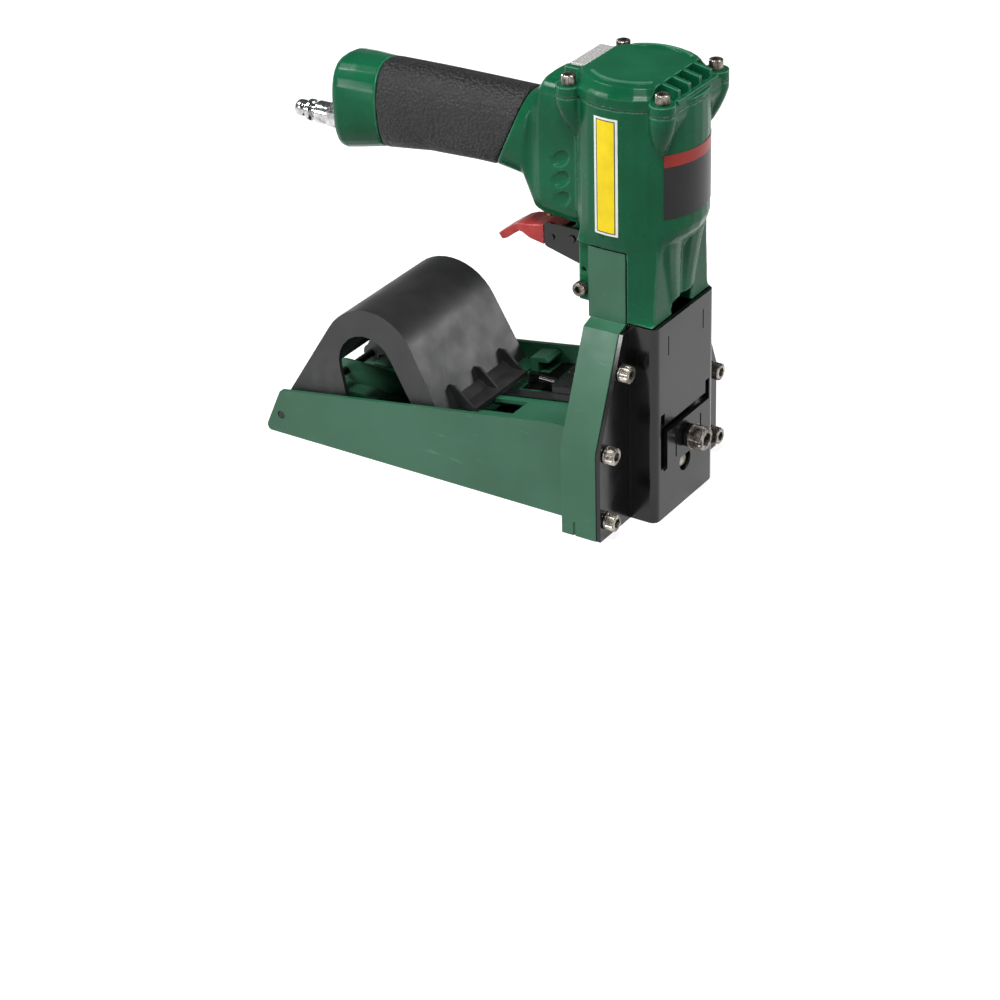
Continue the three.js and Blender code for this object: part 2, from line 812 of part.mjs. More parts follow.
// Domed head that shows through the access hole of the front plate
function turned_screw_head() {
  const head = rod('y', guide_screw_radius - guide_screw_dome, access_hole_z, 0,
    guide_block_front_y - guide_screw_dome / 2, guide_block_front_y + cut_over,
    pin_sides, guide_screw_radius);
  const socket = prism('y', hexagon(guide_screw_radius, access_hole_z, 0),
    guide_block_front_y - guide_screw_dome, guide_block_front_y);
  return head.subtract(socket);
}

function driver_guide_rear() {
  const face_y = blade_rear_y + seat_gap;
  const body = block(-guide_half_width, guide_half_width, face_y, face_y + guide_rear_wall, 0, guide_top_z);
  const feed = block(-blade_half_width - cut_over, blade_half_width + cut_over, face_y - cut_over,
    face_y + guide_rear_wall + cut_over, feed_slot_low_z, feed_slot_high_z);
  return body.subtract(feed);
}

function anvil() {
  const back_y = anvil_front_y + anvil_wall;
  const eye = rod('y', anvil_eye_radius, anvil_pivot_z, anvil_pivot_x, anvil_front_y, back_y, pin_sides);
  const shoe_inner = anvil_reach - anvil_shoe_wall;
  const from = anvil_rest_deg - anvil_shoe_half_deg;
  const to = anvil_rest_deg + anvil_shoe_half_deg;
  // Angles are measured from straight down, outward along X; outlines are (z, x)
  const place = (radius, degrees) => [
    anvil_pivot_z - radius * Math.cos(radians(degrees)),
    anvil_pivot_x + radius * Math.sin(radians(degrees)),
  ];
  const shoe_arc = [from, anvil_rest_deg, to];
  const shoe = prism('y', [
    ...shoe_arc.map((degrees) => place(anvil_reach, degrees)),
    ...shoe_arc.slice().reverse().map((degrees) => place(shoe_inner, degrees)),
  ], anvil_front_y, anvil_front_y + anvil_shoe_depth);
  const spread = (Math.atan2(anvil_eye_radius * anvil_arm_share, shoe_inner) * half_turn) / Math.PI;
  const arm = prism('y', [
    place(anvil_eye_radius * anvil_arm_share, anvil_rest_deg - half_turn / 2),
    place(shoe_inner + anvil_shoe_wall / 2, anvil_rest_deg - spread),
    place(shoe_inner + anvil_shoe_wall / 2, anvil_rest_deg + spread),
    place(anvil_eye_radius * anvil_arm_share, anvil_rest_deg + half_turn / 2),
  ], anvil_front_y, back_y);
  const hole = rod('y', anvil_pin_radius + run_gap, anvil_pivot_z, anvil_pivot_x,
    anvil_front_y - cut_over, back_y + cut_over, pin_sides);
  return join([eye, shoe, arm]).subtract(hole);
}

function anvil_pin(side) {
  return rod('y', anvil_pin_radius, anvil_pivot_z, side * anvil_pivot_x,
    guide_block_front_y, blade_front_y - seat_gap - seat_gap, pin_sides);
}

// Points at even steps along each edge of a closed outline
function walk_edges(corners, steps) {
  return corners.flatMap((corner, i) => {
    const next = corners[(i + 1) % corners.length];
    return Array.from({ length: steps[i] }, (_, k) => [
      corner[0] + ((next[0] - corner[0]) * k) / steps[i],
      corner[1] + ((next[1] - corner[1]) * k) / steps[i],
    ]);
  });
}

// Plan of the casting above the front plate: it widens from its front face to the frame's straps
function nose_plan(front_half_width, front_y) {
  return walk_edges([
    [nose_half_width, nose_rear_y], [nose_half_width, -strap_pocket_gap], [front_half_width, front_y],
    [-front_half_width, front_y], [-nose_half_width, -strap_pocket_gap], [-nose_half_width, nose_rear_y],
  ].reverse(), nose_edge_steps);
}

// Lower part of the casting, blended into the round barrel
function nose_loft() {
  const bend_z = nose_low_z + (nose_flare_z - nose_low_z) * nose_bend_height_share;
  const bend_inset = nose_foot_inset + (nose_flare_inset - nose_foot_inset) * nose_bend_inset_share;
  const straight = [
    [nose_low_z, nose_foot_inset, nose_foot_front_y], [bend_z, bend_inset, nose_front_y],
    [nose_flare_z, nose_flare_inset, nose_flare_front_y], [nose_top_z, nose_top_inset, nose_top_front_y],
  ].map(([z, inset, front]) => nose_plan(nose_half_width - inset, front)
    .map(([x, y]) => new THREE.Vector3(x, y, z)));
  const last = straight[straight.length - 1];
  const blend = Array.from({ length: nose_blend_steps }, (_, k) => {
    const step = (k + 1) / nose_blend_steps;
    const share = (1 - Math.cos(Math.PI * step)) / 2;
    return last.map((point) => {
      const away = new THREE.Vector2(point.x, point.y - barrel_y).setLength(barrel_radius);
      return new THREE.Vector3(
        point.x + (away.x - point.x) * share,
        point.y + (away.y + barrel_y - point.y) * share,
        nose_top_z + (barrel_low_z - nose_top_z) * step,
      );
    });
  });
  return loft([...straight, ...blend]);
}

// One of the two ridges that carry the barrel on the front face, with a groove between them
function front_ridge() {
  const ring = (share, z) => {
    const between = (low, top) => low + (top - low) * share;
    const foot = between(ridge_low_foot_x, ridge_top_foot_x);
    const outer = between(ridge_low_outer_x, ridge_top_outer_x);
    const inner = between(ridge_low_inner_x, ridge_top_inner_x);
    const front = nose_front_y - ridge_low_height - (ridge_top_height - ridge_low_height) * share ** 2;
    return [
      [ridge_groove_half_width, 0], [ridge_groove_half_width, nose_front_y], [inner, front],
      [(inner + outer) / 2, front - ridge_crown], [outer, front], [foot, nose_front_y + ridge_crown],
      [foot, 0],
    ].map(([x, y]) => new THREE.Vector3(x, y, z));
  };
  const rings = Array.from({ length: ridge_steps + 1 }, (_, k) => ring(
    k / ridge_steps, ridge_low_z + ((ridge_top_z - ridge_low_z) * k) / ridge_steps));
  return loft([...rings, ring(1, ridge_end_z)]);
}

// Screw boss that runs out into the barrel
function corner_boss(x, y) {
  const ring = (radius, pull, z) => oval(radius, radius, 2, pin_sides).map(([u, v]) => new THREE.Vector3(
    x + u - x * pull, y + v - (y - barrel_y) * pull, z));
  const straight_low = barrel_top_z - boss_straight;
  const rings = [ring(boss_radius, 0, barrel_top_z)];
  for (let step = 0; step <= boss_steps; step += 1) {
    const share = step / boss_steps;
    const radius = boss_radius * (1 - (1 - boss_tip_share) * share * share);
    rings.unshift(ring(radius, boss_tip_pull * share, straight_low - boss_taper * share));
  }
  return loft(rings);
}

function boss_places() {
  return [[-boss_x, boss_front_y], [boss_x, boss_front_y], [-boss_x, boss_rear_y], [boss_x, boss_rear_y]];
}

// Height and centre of the handle at a place along it
function handle_section(y) {
  const share = Math.max(0, y - handle_level_y) / (handle_end_y - handle_level_y);
  const growth = handle_growth * share * share;
  return {
    z: handle_z - handle_drop * share * share,
    half_width: handle_half_width + growth * handle_half_width / handle_half_height,
    half_height: handle_half_height + growth,
  };
}

// Ring round the handle, leaning back towards the top and drawn forward at the sides
function handle_ring(y, lean, shrink, squareness = handle_squareness, sag = 0) {
  const { z, half_width, half_height } = handle_section(y);
  return oval(half_width - shrink, half_height - shrink, squareness, section_points).map(([u, v]) =>
    new THREE.Vector3(-u, y + (lean * v) / half_height - sag * (u / half_width) ** 2, z + v));
}

function neck() {
  const ring = (y, low, high, half, squareness, lean = 0) => {
    const half_height = (high - low) / 2;
    return oval(half, half_height, squareness, section_points).map(([u, v]) =>
      new THREE.Vector3(-u, y + (lean * v) / half_height, (low + high) / 2 + v));
  };
  const handle = handle_section(neck_rear_y);
  const handle_high = handle.z + handle.half_height;
  const top = barrel_top_z;
  return loft([
    ring(barrel_y + barrel_radius / 2, neck_low_z, top, neck_half_width + 2 * dimple_depth,
      neck_front_squareness),
    ring(barrel_rear_y, neck_low_z, top, neck_half_width + dimple_depth, neck_front_squareness),
    ring(neck_top_y, neck_low_z, top, neck_half_width, neck_squareness),
    ring(neck_corner_y, neck_low_z + neck_corner_rise, (top + handle_high) / 2, neck_half_width_low,
      neck_front_squareness, neck_rear_lean / 4),
    ring(neck_back_y, neck_low_z + neck_back_rise, (top + handle_high * 3) / 4, neck_half_width_low,
      neck_squareness, neck_rear_lean / 2),
    ring(neck_rear_y, neck_low_z + neck_rear_rise, handle_high + dimple_depth, handle_half_width,
      neck_rear_squareness, neck_rear_lean),
    handle_ring(grip_front_y - seat_gap, grip_front_lean, 0, handle_squareness, grip_front_sag),
  ]);
}

function handle_core() {
  const rear = grip_rear_y + end_cap_socket;
  return loft([
    handle_ring(neck_top_y, 0, grip_wall + seat_gap),
    handle_ring(handle_level_y, 0, grip_wall + seat_gap),
    handle_ring((handle_level_y + grip_rear_y) / 2, 0, grip_wall + seat_gap),
    handle_ring(grip_rear_y, 0, grip_wall + seat_gap),
    handle_ring(rear, 0, grip_wall + seat_gap),
  ]);
}

function dimple(row) {
  const shape = oval(dimple_half_length, dimple_half_width, 2, pin_sides).map(([u, v]) => {
    const lean = radians(dimple_tilt_deg);
    return [
      dimple_y + u * Math.cos(lean) - v * Math.sin(lean),
      dimple_z + row * dimple_pitch + u * Math.sin(lean) + v * Math.cos(lean),
    ];
  });
  return prism('x', shape, neck_half_width, neck_half_width + dimple_depth + cut_over * 3);
}

function trigger_lug() {
  const tip = rod('x', lug_radius, trigger_pivot_y, trigger_pivot_z,
    -lug_half_width, lug_half_width, pin_sides);
  const root = prism('x', [
    [nose_rear_y - cut_over, trigger_pivot_z - lug_radius], [trigger_pivot_y, trigger_pivot_z - lug_radius],
    [trigger_pivot_y, trigger_pivot_z + lug_radius], [trigger_pivot_y, neck_low_z + lug_radius],
    [nose_rear_y - cut_over, neck_low_z + lug_radius],
  ], -lug_half_width, lug_half_width);
  return tip.add(root);
}

function body_housing() {
  const barrel = rod('z', barrel_radius, 0, barrel_y, barrel_low_z, barrel_top_z);
  const web = prism('x', [
    [web_front_y, barrel_top_z], [web_front_y, barrel_top_z - web_straight],
    [boss_front_y, barrel_top_z - web_straight - web_taper], [0, barrel_top_z - web_straight - web_taper],
    [0, barrel_top_z],
  ], -boss_x, boss_x);
  const bosses = boss_places().map(([x, y]) => corner_boss(x, y));
  const ridge = front_ridge();
  const skin = join([
    barrel, nose_loft(), ridge, mirror(ridge), web, ...bosses, neck(), handle_core(), trigger_lug(),
  ]);

  const bore = rod('z', bore_radius, 0, barrel_y, bore_floor_z, barrel_top_z + cut_over);
  const blade_way = block(-blade_half_width - cut_over, blade_half_width + cut_over,
    blade_front_y - cut_over, blade_rear_y + cut_over, nose_low_z - cut_over, bore_floor_z + cut_over);
  const strap_pocket = block(strap_inner - strap_pocket_gap, nose_half_width * 2, -strap_pocket_gap,
    strap_depth + strap_pocket_gap, nose_low_z - cut_over, strap_top_z + strap_pocket_gap);
  const rear_foot = block(-nose_half_width * 2, nose_half_width * 2, strap_depth + strap_pocket_gap,
    nose_rear_y * 2, nose_low_z - cut_over, nose_rear_low_z);
  const rear_side = block(nose_rear_half_width, nose_half_width * 2, strap_depth,
    nose_rear_y + cut_over, nose_low_z - cut_over, strap_top_z + strap_pocket_gap);
  const notch = block(-notch_half_width, notch_half_width, nose_front_y - notch_depth / 2,
    nose_front_y + notch_depth / 2, nose_low_z - cut_over, nose_low_z + notch_height);
  const screw_seat = nose_rear_half_width - seat_gap;
  const side_holes = [-1, 1].map((side) => rod('x', side_screw_radius + run_gap, side_screw_y, side_screw_z,
    side > 0 ? screw_seat - side_screw_length : -nose_half_width * 2,
    side > 0 ? nose_half_width * 2 : -screw_seat + side_screw_length, screw_sides));
  const pin_holes = [-1, 1].map((side) => rod('x', roll_pin_hole_radius, roll_pin_y, roll_pin_z,
    side > 0 ? nose_rear_half_width - roll_pin_hole_depth : -nose_half_width * 2,
    side > 0 ? nose_half_width * 2 : -nose_rear_half_width + roll_pin_hole_depth, screw_sides));
  const cap_threads = boss_places().map(([x, y]) => rod('z', cap_screw_radius + run_gap, x, y,
    barrel_top_z - cap_screw_length, barrel_top_z + cut_over, screw_sides));
  const dimples = [-1, 0, 1].map(dimple);
  const valve_bore = rod('z', valve_bore_radius, 0, valve_y, neck_low_z - cut_over,
    neck_low_z + valve_body_height + seat_gap, pin_sides);
  const stem_room = rod('z', valve_stem_head + run_gap, 0, valve_y, neck_low_z, handle_z, pin_sides);
  const air_way = rod('y', air_way_radius, handle_z, 0, air_way_front_y - air_way_radius,
    grip_rear_y + end_cap_socket + cut_over, pin_sides);
  const pivot_hole = rod('x', trigger_pin_radius + run_gap, trigger_pivot_y, trigger_pivot_z,
    -lug_half_width - cut_over, lug_half_width + cut_over, pin_sides);
  const cuts = [
    bore, blade_way, strap_pocket, mirror(strap_pocket), rear_foot, rear_side, mirror(rear_side), notch,
    ...side_holes, ...pin_holes, ...cap_threads, ...dimples,
    ...dimples.map(mirror), valve_bore, stem_room, air_way, pivot_hole,
  ];
  return skin.subtract(join(cuts));
}

function grip_sleeve() {
  const stations = (shrink, over) => [
    handle_ring(grip_front_y - over, grip_front_lean, shrink, handle_squareness, grip_front_sag),
    handle_ring(handle_level_y, 0, shrink),
    handle_ring((handle_level_y + grip_rear_y) / 2, 0, shrink),
    handle_ring(grip_rear_y - seat_gap + over, end_lean, shrink, handle_squareness, end_sag),
  ];
  return loft(stations(-seat_gap, 0)).subtract(loft(stations(grip_wall, cut_over)));
}

// The end cap grows a little squarer towards its rear face
function end_square(y) {
  return Math.max(0, (y - grip_rear_y) / (end_cap_rear_y - grip_rear_y)) / 2;
}

function handle_end_cap() {
  const rear_ring = (y, shrink) => handle_ring(y, end_lean, shrink, handle_squareness + end_square(y),
    end_sag);
  const shell = loft([
    rear_ring(grip_rear_y + seat_gap, 0),
    rear_ring((grip_rear_y + end_cap_rear_y) / 2, -seat_gap),
    rear_ring(end_cap_rear_y - end_cap_round, 0),
    rear_ring(end_cap_rear_y - end_cap_round / 3, end_cap_round / 3),
    rear_ring(end_cap_rear_y, end_cap_round),
  ]);
  const socket = loft([
    handle_ring(grip_rear_y - end_lean - end_sag - cut_over, 0, grip_wall),
    handle_ring(grip_rear_y + end_cap_socket + seat_gap, 0, grip_wall),
  ]);
  const plug_hole = rod('y', plug_thread_radius + run_gap, plug_z, 0, grip_rear_y,
    end_cap_rear_y + end_lean + cut_over, pin_sides);
  return shell.subtract(socket).subtract(plug_hole);
}

// Quick connector plug: hexagon, neck with its locking ring, tapered tip, bored through
function air_plug() {
  const length = plug_tip_y - plug_base_y;
  const at = (share) => plug_base_y + length * share;
  const thread_y = end_cap_rear_y - end_cap_wall * 3;
  const profile_shares = [
    [0, 0.42, plug_ring_radius], [0.42, 0.56, plug_neck_radius], [0.56, 0.72, plug_ring_radius],
    [0.72, 1, plug_neck_radius],
  ];
  const barrel = profile_shares.map(([from, to, radius]) => rod('y', radius, plug_z, 0,
    at(from) - cut_over / 2, at(to), pin_sides));
  const tip = rod('y', plug_tip_radius, plug_z, 0, at(0.82), at(1), pin_sides, plug_neck_radius);
  const collar = rod('y', plug_ring_radius + seat_gap, plug_z, 0, plug_base_y - plug_ring_radius,
    plug_base_y, pin_sides);
  const hex = prism('y', hexagon(plug_hex_flats, plug_z, 0), plug_base_y - plug_ring_radius,
    plug_base_y - seat_gap);
  const thread = rod('y', plug_thread_radius, plug_z, 0,
    thread_y, plug_base_y - plug_ring_radius / 2, pin_sides);
  const bore = rod('y', plug_bore_radius, plug_z, 0, thread_y - cut_over, plug_tip_y + cut_over, screw_sides);
  return join([...barrel, tip, collar, hex, thread]).subtract(bore);
}

function cap_gasket() {
  const ring = rod('z', barrel_radius, 0, barrel_y, barrel_top_z, gasket_top_z);
  const ears = boss_places().map(([x, y]) => rod('z', boss_radius, x, y,
    barrel_top_z, gasket_top_z, pin_sides));
  const front = block(-boss_x, boss_x, web_front_y, 0, barrel_top_z, gasket_top_z);
  const bore = rod('z', bore_radius, 0, barrel_y, barrel_top_z - cut_over, gasket_top_z + cut_over);
  const holes = boss_places().map(([x, y]) => rod('z', cap_screw_radius + run_gap, x, y,
    barrel_top_z - cut_over, gasket_top_z + cut_over, screw_sides));
  return join([ring, front, ...ears]).subtract(join([bore, ...holes]));
}

// Curved ridge on the cap's top, centred on one side
function cap_ridge(middle_deg) {
  const top = gasket_top_z + cap_height;
  const half = cap_ridge_deg / 2;
  const steps = pin_sides / 2;
  return prism('z', [
    ...arc(0, barrel_y, cap_ridge_radius, middle_deg - half, middle_deg + half, steps),
    ...arc(0, barrel_y, cap_ridge_radius - cap_ridge_width, middle_deg + half, middle_deg - half, steps),
  ], top - cut_over, top + cap_ridge_height);
}

function cap_fin(x) {
  const front_y = web_front_y + fin_setback;
  const rear_y = cap_step_y + fin_wall;
  return prism('x', [
    [front_y, gasket_top_z], [front_y, gasket_top_z + fin_front_height],
    [cap_step_y, gasket_top_z + fin_rear_height], [rear_y, gasket_top_z + fin_rear_height],
    [rear_y, gasket_top_z],
  ], x - fin_wall / 2, x + fin_wall / 2);
}

function cylinder_cap() {
  const base = gasket_top_z;
  const dome = turned([
    [0, base], [cap_radius, base], [cap_radius, base + cap_skirt_height],
    [cap_radius - cap_ridge_width, base + cap_skirt_height + cap_ridge_width],
    [cap_top_radius, base + cap_height - cap_ridge_height / 2],
    [cap_top_radius - cap_ridge_height, base + cap_height], [0, base + cap_height],
  ], 0, barrel_y);
  const step = block(-cap_radius * 2, cap_radius * 2, web_front_y * 2, cap_step_y,
    base + cap_flange_height - fin_wall, base + cap_height * 2);
  const ears = boss_places().map(([x, y]) => rod('z', boss_radius, x, y,
    base, base + cap_boss_height, pin_sides));
  const front = block(-boss_x, boss_x, web_front_y, cap_step_y, base, base + cap_flange_height - fin_wall);
  const rim = block(-boss_x + boss_radius, boss_x - boss_radius, web_front_y, web_front_y + fin_wall,
    base, base + cap_flange_height);
  const fins = [-1.5, -0.5, 0.5, 1.5].map((place) => cap_fin(place * fin_pitch));
  const tail = block(-cap_tail_half_width, cap_tail_half_width, barrel_y, cap_tail_rear_y, base,
    base + cap_tail_height);
  const cavity = rod('z', cap_cavity_radius, 0, barrel_y, base - cut_over, base + cap_cavity_height);
  const holes = boss_places().map(([x, y]) => rod('z', cap_screw_radius + run_gap, x, y,
    base - cut_over, base + cap_height, screw_sides));
  const head_room = boss_places().map(([x, y]) => rod('z', cap_screw_head_radius + seat_gap * 2, x, y,
    base + cap_boss_height, base + cap_height * 2, screw_sides));
  const plate_seat = block(-plate_half_width - seat_gap, plate_half_width + seat_gap,
    plate_front_y - seat_gap,
    cap_tail_rear_y + cut_over, base + cap_tail_height, base + cap_height * 2);
  return join([dome.subtract(step), ...ears, front, rim, ...fins, tail, cap_ridge(0), cap_ridge(half_turn)])
    .subtract(join([cavity, plate_seat, ...holes, ...head_room]));
}

function cap_plate() {
  const base = gasket_top_z + cap_tail_height + seat_gap;
  return block(-plate_half_width, plate_half_width, plate_front_y, plate_rear_y, base, base + plate_wall);
}

function cap_screw(x, y) {
  const low = gasket_top_z + cap_boss_height + seat_gap;
  return socket_screw('z', x, y, low, low + cap_screw_head_height, cap_screw_head_radius,
    cap_screw_radius, cap_screw_length, 1);
}

function cylinder_liner() {
  const low = bore_floor_z + seat_gap;
  const outer = rod('z', bore_radius - seat_gap, 0, barrel_y, low, liner_top_z);
  const inner = rod('z', bore_radius - seat_gap - liner_wall, 0, barrel_y,
    low - cut_over, liner_top_z + cut_over);
  return outer.subtract(inner);
}

function main_piston() {
  const radius = bore_radius - liner_wall - seat_gap * 2;
  const low = piston_top_z - piston_height;
  const groove_low = low + (piston_height - piston_groove) / 2;
  const disc = turned([
    [0, low], [radius, low], [radius, groove_low], [radius - piston_groove_depth, groove_low],
    [radius - piston_groove_depth, groove_low + piston_groove], [radius, groove_low + piston_groove],
    [radius, piston_top_z], [0, piston_top_z],
  ], 0, barrel_y);
  const hollow = rod('z', radius - piston_groove_depth * 2, 0, barrel_y, piston_top_z - piston_skirt_hollow,
    piston_top_z + cut_over);
  const blade_seat = block(-blade_half_width - seat_gap, blade_half_width + seat_gap,
    blade_front_y - seat_gap,
    blade_rear_y + seat_gap, low - cut_over, low + blade_seat_depth + seat_gap);
  return disc.subtract(hollow).subtract(blade_seat);
}

function piston_ring() {
  const radius = bore_radius - liner_wall - seat_gap * 2;
  const low = piston_top_z - piston_height + (piston_height - piston_groove) / 2 + seat_gap / 2;
  const high = low + piston_groove - seat_gap;
  const outer = rod('z', radius + seat_gap / 3, 0, barrel_y, low, high);
  const inner = rod('z', radius - piston_groove_depth + seat_gap / 2, 0, barrel_y,
    low - cut_over, high + cut_over);
  return outer.subtract(inner);
}

function driver_blade() {
  return block(-blade_half_width, blade_half_width, blade_front_y, blade_rear_y, blade_tip_z,
    piston_top_z - piston_height + blade_seat_depth);
}

function piston_bumper() {
  const low = bore_floor_z + seat_gap;
  const outer = rod('z', bore_radius - liner_wall - seat_gap * 2, 0, barrel_y, low, low + bumper_height);
  const slot = block(-blade_half_width - seat_gap, blade_half_width + seat_gap, blade_front_y - cut_over,
    blade_rear_y + cut_over, low - cut_over, low + bumper_height + cut_over);
  const relief = rod('z', blade_half_width - bumper_wall, 0, barrel_y, low + bumper_height / 2,
    low + bumper_height + cut_over, pin_sides);
  return outer.subtract(slot).subtract(relief);
}

function head_valve() {
  const low = liner_top_z + seat_gap;
  const disc = rod('z', head_valve_radius, 0, barrel_y, low, low + head_valve_height);
  const bore = rod('z', head_valve_bore, 0, barrel_y,
    low - cut_over, low + head_valve_height + cut_over, pin_sides);
  return disc.subtract(bore);
}

function valve_body() {
  const high = neck_low_z + valve_body_height;
  const tube = rod('z', valve_body_radius, 0, valve_y, neck_low_z, high, pin_sides);
  const way = rod('z', valve_stem_radius + run_gap, 0, valve_y,
    neck_low_z - cut_over, high + cut_over, pin_sides);
  const room = rod('z', valve_stem_head + run_gap, 0, valve_y, neck_low_z + valve_body_height / 2,
    high + cut_over, pin_sides);
  return tube.subtract(way).subtract(room);
}

function valve_stem() {
  const low = lever_top_z + valve_stem_gap;
  const shank = rod('z', valve_stem_radius, 0, valve_y, low, low + valve_stem_height, pin_sides);
  const head_low = neck_low_z + valve_body_height / 2 + seat_gap;
  const head = rod('z', valve_stem_head, 0, valve_y, head_low, head_low + valve_stem_head, pin_sides);
  return shank.add(head);
}

// Folded steel arm under the finger lever: two cheeks joined by a web below
function trigger_arm() {
  const outline = (lift) => [
    [trigger_front_y, trigger_front_low_z + lift], [trigger_rear_y, trigger_rear_low_z + lift],
    [trigger_rear_y, trigger_top_z + lift], [trigger_front_y, trigger_top_z + lift],
  ];
  const outer = prism('x', rounded_outline(outline(0), trigger_sheet),
    -trigger_half_width, trigger_half_width);
  const inner_half = trigger_half_width - trigger_sheet;
  const inner = prism('x', [
    [trigger_front_y - cut_over, trigger_front_low_z + trigger_sheet],
    [trigger_rear_y + cut_over, trigger_rear_low_z + trigger_sheet],
    [trigger_rear_y + cut_over, trigger_top_z + cut_over],
    [trigger_front_y - cut_over, trigger_top_z + cut_over],
  ], -inner_half, inner_half);
  const pivot = rod('x', trigger_pin_radius + run_gap, trigger_pivot_y, trigger_pivot_z,
    -trigger_half_width - cut_over, trigger_half_width + cut_over, pin_sides);
  const rivet = rod('x', lever_pin_radius + run_gap, lever_pin_y, lever_pin_z,
    -trigger_half_width - cut_over, trigger_half_width + cut_over, pin_sides);
  return outer.subtract(inner).subtract(pivot).subtract(rivet);
}

// Finger lever: a tongue between the cheeks of the arm, a shoulder behind them and a tail
function finger_lever() {
  const tongue_half = trigger_half_width - trigger_sheet - seat_gap;
  const shoulder_y = trigger_rear_y + seat_gap;
  const tongue = prism('x', [
    [lever_front_y, lever_under_z + lever_wall / 2],
    [lever_front_y + lever_wall / 2, lever_under_z + seat_gap],
    [shoulder_y + cut_over, lever_under_z + seat_gap], [shoulder_y + cut_over, lever_top_z],
    [lever_front_y, lever_top_z],
  ], -tongue_half, tongue_half);
  const shoulder = prism('x', rounded_outline([
    [shoulder_y, lever_under_z - seat_gap * 4],
    [lever_dip_y - lever_wall / 4, lever_dip_z - lever_wall * 0.7],
    [lever_dip_y + lever_wall / 4, lever_dip_z], [lever_knee_y, lever_knee_z], [shoulder_y, lever_top_z],
  ], lever_tip_radius), -trigger_half_width, trigger_half_width);
  const tail = prism('x', rounded_outline([
    [lever_dip_y - lever_wall, lever_dip_z - lever_wall / 2],
    [lever_tip_y - lever_tip_radius, lever_tip_z - lever_tip_radius],
    [lever_tip_y + lever_tip_radius, lever_tip_z - lever_tip_radius / 2],
    [lever_tip_y + lever_tip_radius / 2, lever_tip_z + lever_tip_radius],
    [lever_dip_y, lever_dip_z], [lever_dip_y - lever_wall, lever_dip_z],
  ], lever_tip_radius), -lever_tip_half_width, lever_tip_half_width);
  const hole = rod('x', lever_pin_radius + run_gap, lever_pin_y, lever_pin_z,
    -trigger_half_width - cut_over, trigger_half_width + cut_over, pin_sides);
  return join([tongue, shoulder, tail]).subtract(hole);
}

function cross_pin(radius, y, z, half_length) {
  return rod('x', radius, y, z, -half_length, half_length, pin_sides);
}

function side_screw(side) {
  const seat = nose_rear_half_width + seat_gap;
  const low = side > 0 ? seat : -seat - side_screw_head_height;
  return socket_screw('x', side_screw_y, side_screw_z, low, low + side_screw_head_height,
    side_screw_head_radius, side_screw_radius, side_screw_length - cut_over, side);
}

// Side outline of the tray, as (y, z)
function tray_outline() {
  const step_y = column_depth + seat_gap * 2;
  return rounded_outline([
    [tray_front_y, 0], [tray_rear_y - tray_corner / 2, 0], [tray_rear_y, tray_corner],
    [tray_top_rear_y, tray_top_rear_z], [tray_top_flat_y, tray_top_front_z], [step_y, tray_top_front_z],
    [step_y, tray_step_z], [tray_front_y, tray_step_z],
  ], tray_corner / 2);
}

// Strip of the deck between two heights measured from the deck's own slope, as a sloping slab
function deck_slab(x_low, x_high, below, above, rear_y = deck_rear_y) {
  return prism('x', [
    [deck_front_y, deck_top(deck_front_y) - below], [rear_y, deck_top(rear_y) - below],
    [rear_y, deck_top(rear_y) + above], [deck_front_y, deck_top(deck_front_y) + above],
  ], x_low, x_high);
}

function magazine_tray() {
  const full = prism('x', tray_outline(), -tray_half_width, tray_half_width);
  const room = block(-tray_inner, tray_inner, tray_front_y - cut_over, tray_rear_y + cut_over,
    tray_wall, tray_top_front_z * 2);
  const channel_floor = channel_depth + deck_wall;
  const deck = join([
    deck_slab(-tray_inner - cut_over, channel_near_x, deck_wall, 0),
    deck_slab(channel_near_x - deck_wall, channel_near_x, channel_floor, 0),
    deck_slab(channel_near_x - deck_wall, channel_near_x, deck_wall, channel_lip, lip_front_y - deck_wall),
    deck_slab(channel_near_x - deck_wall, channel_far_x + deck_wall, channel_floor, -channel_depth),
    deck_slab(channel_far_x, channel_far_x + deck_wall, channel_floor, 0),
    deck_slab(channel_far_x, tray_inner + cut_over, deck_wall, 0),
  ]);
  const window = block(-deck_window_x - deck_window_width, -deck_window_x,
    deck_window_y - deck_window_half_length, deck_window_y + deck_window_half_length,
    tray_wall * 2, tray_top_front_z);
  const pawl_slot = block(pawl_slot_x - pawl_slot_half_width, pawl_slot_x + pawl_slot_half_width,
    pawl_slot_front_y, pawl_slot_rear_y, tray_wall * 2, tray_top_front_z);
  const pin_hole = rod('x', hinge_pin_radius + run_gap, hinge_y, hinge_z,
    -tray_half_width - cut_over, tray_half_width + cut_over, pin_sides);
  const guide_room = block(-guide_half_width - seat_gap, guide_half_width + seat_gap, tray_front_y - cut_over,
    blade_rear_y + guide_rear_wall + seat_gap * 2, -cut_over, tray_wall + cut_over);
  return join([full.subtract(room), deck])
    .subtract(join([window, pawl_slot, pin_hole, guide_room, catch_well()]));
}

// Slot in the far deck through which the catch reaches its pin
function catch_well() {
  return block(catch_x - catch_half_width - seat_gap, catch_x + catch_half_width + seat_gap,
    catch_front_y + catch_length - catch_post_length - seat_gap * 3,
    catch_front_y + catch_length + catch_wall, tray_wall * 2, tray_top_front_z);
}

// Height of the face that the staple strip slides on
function track_top(y) {
  return deck_top(y) - channel_depth - deck_wall - strip_room;
}

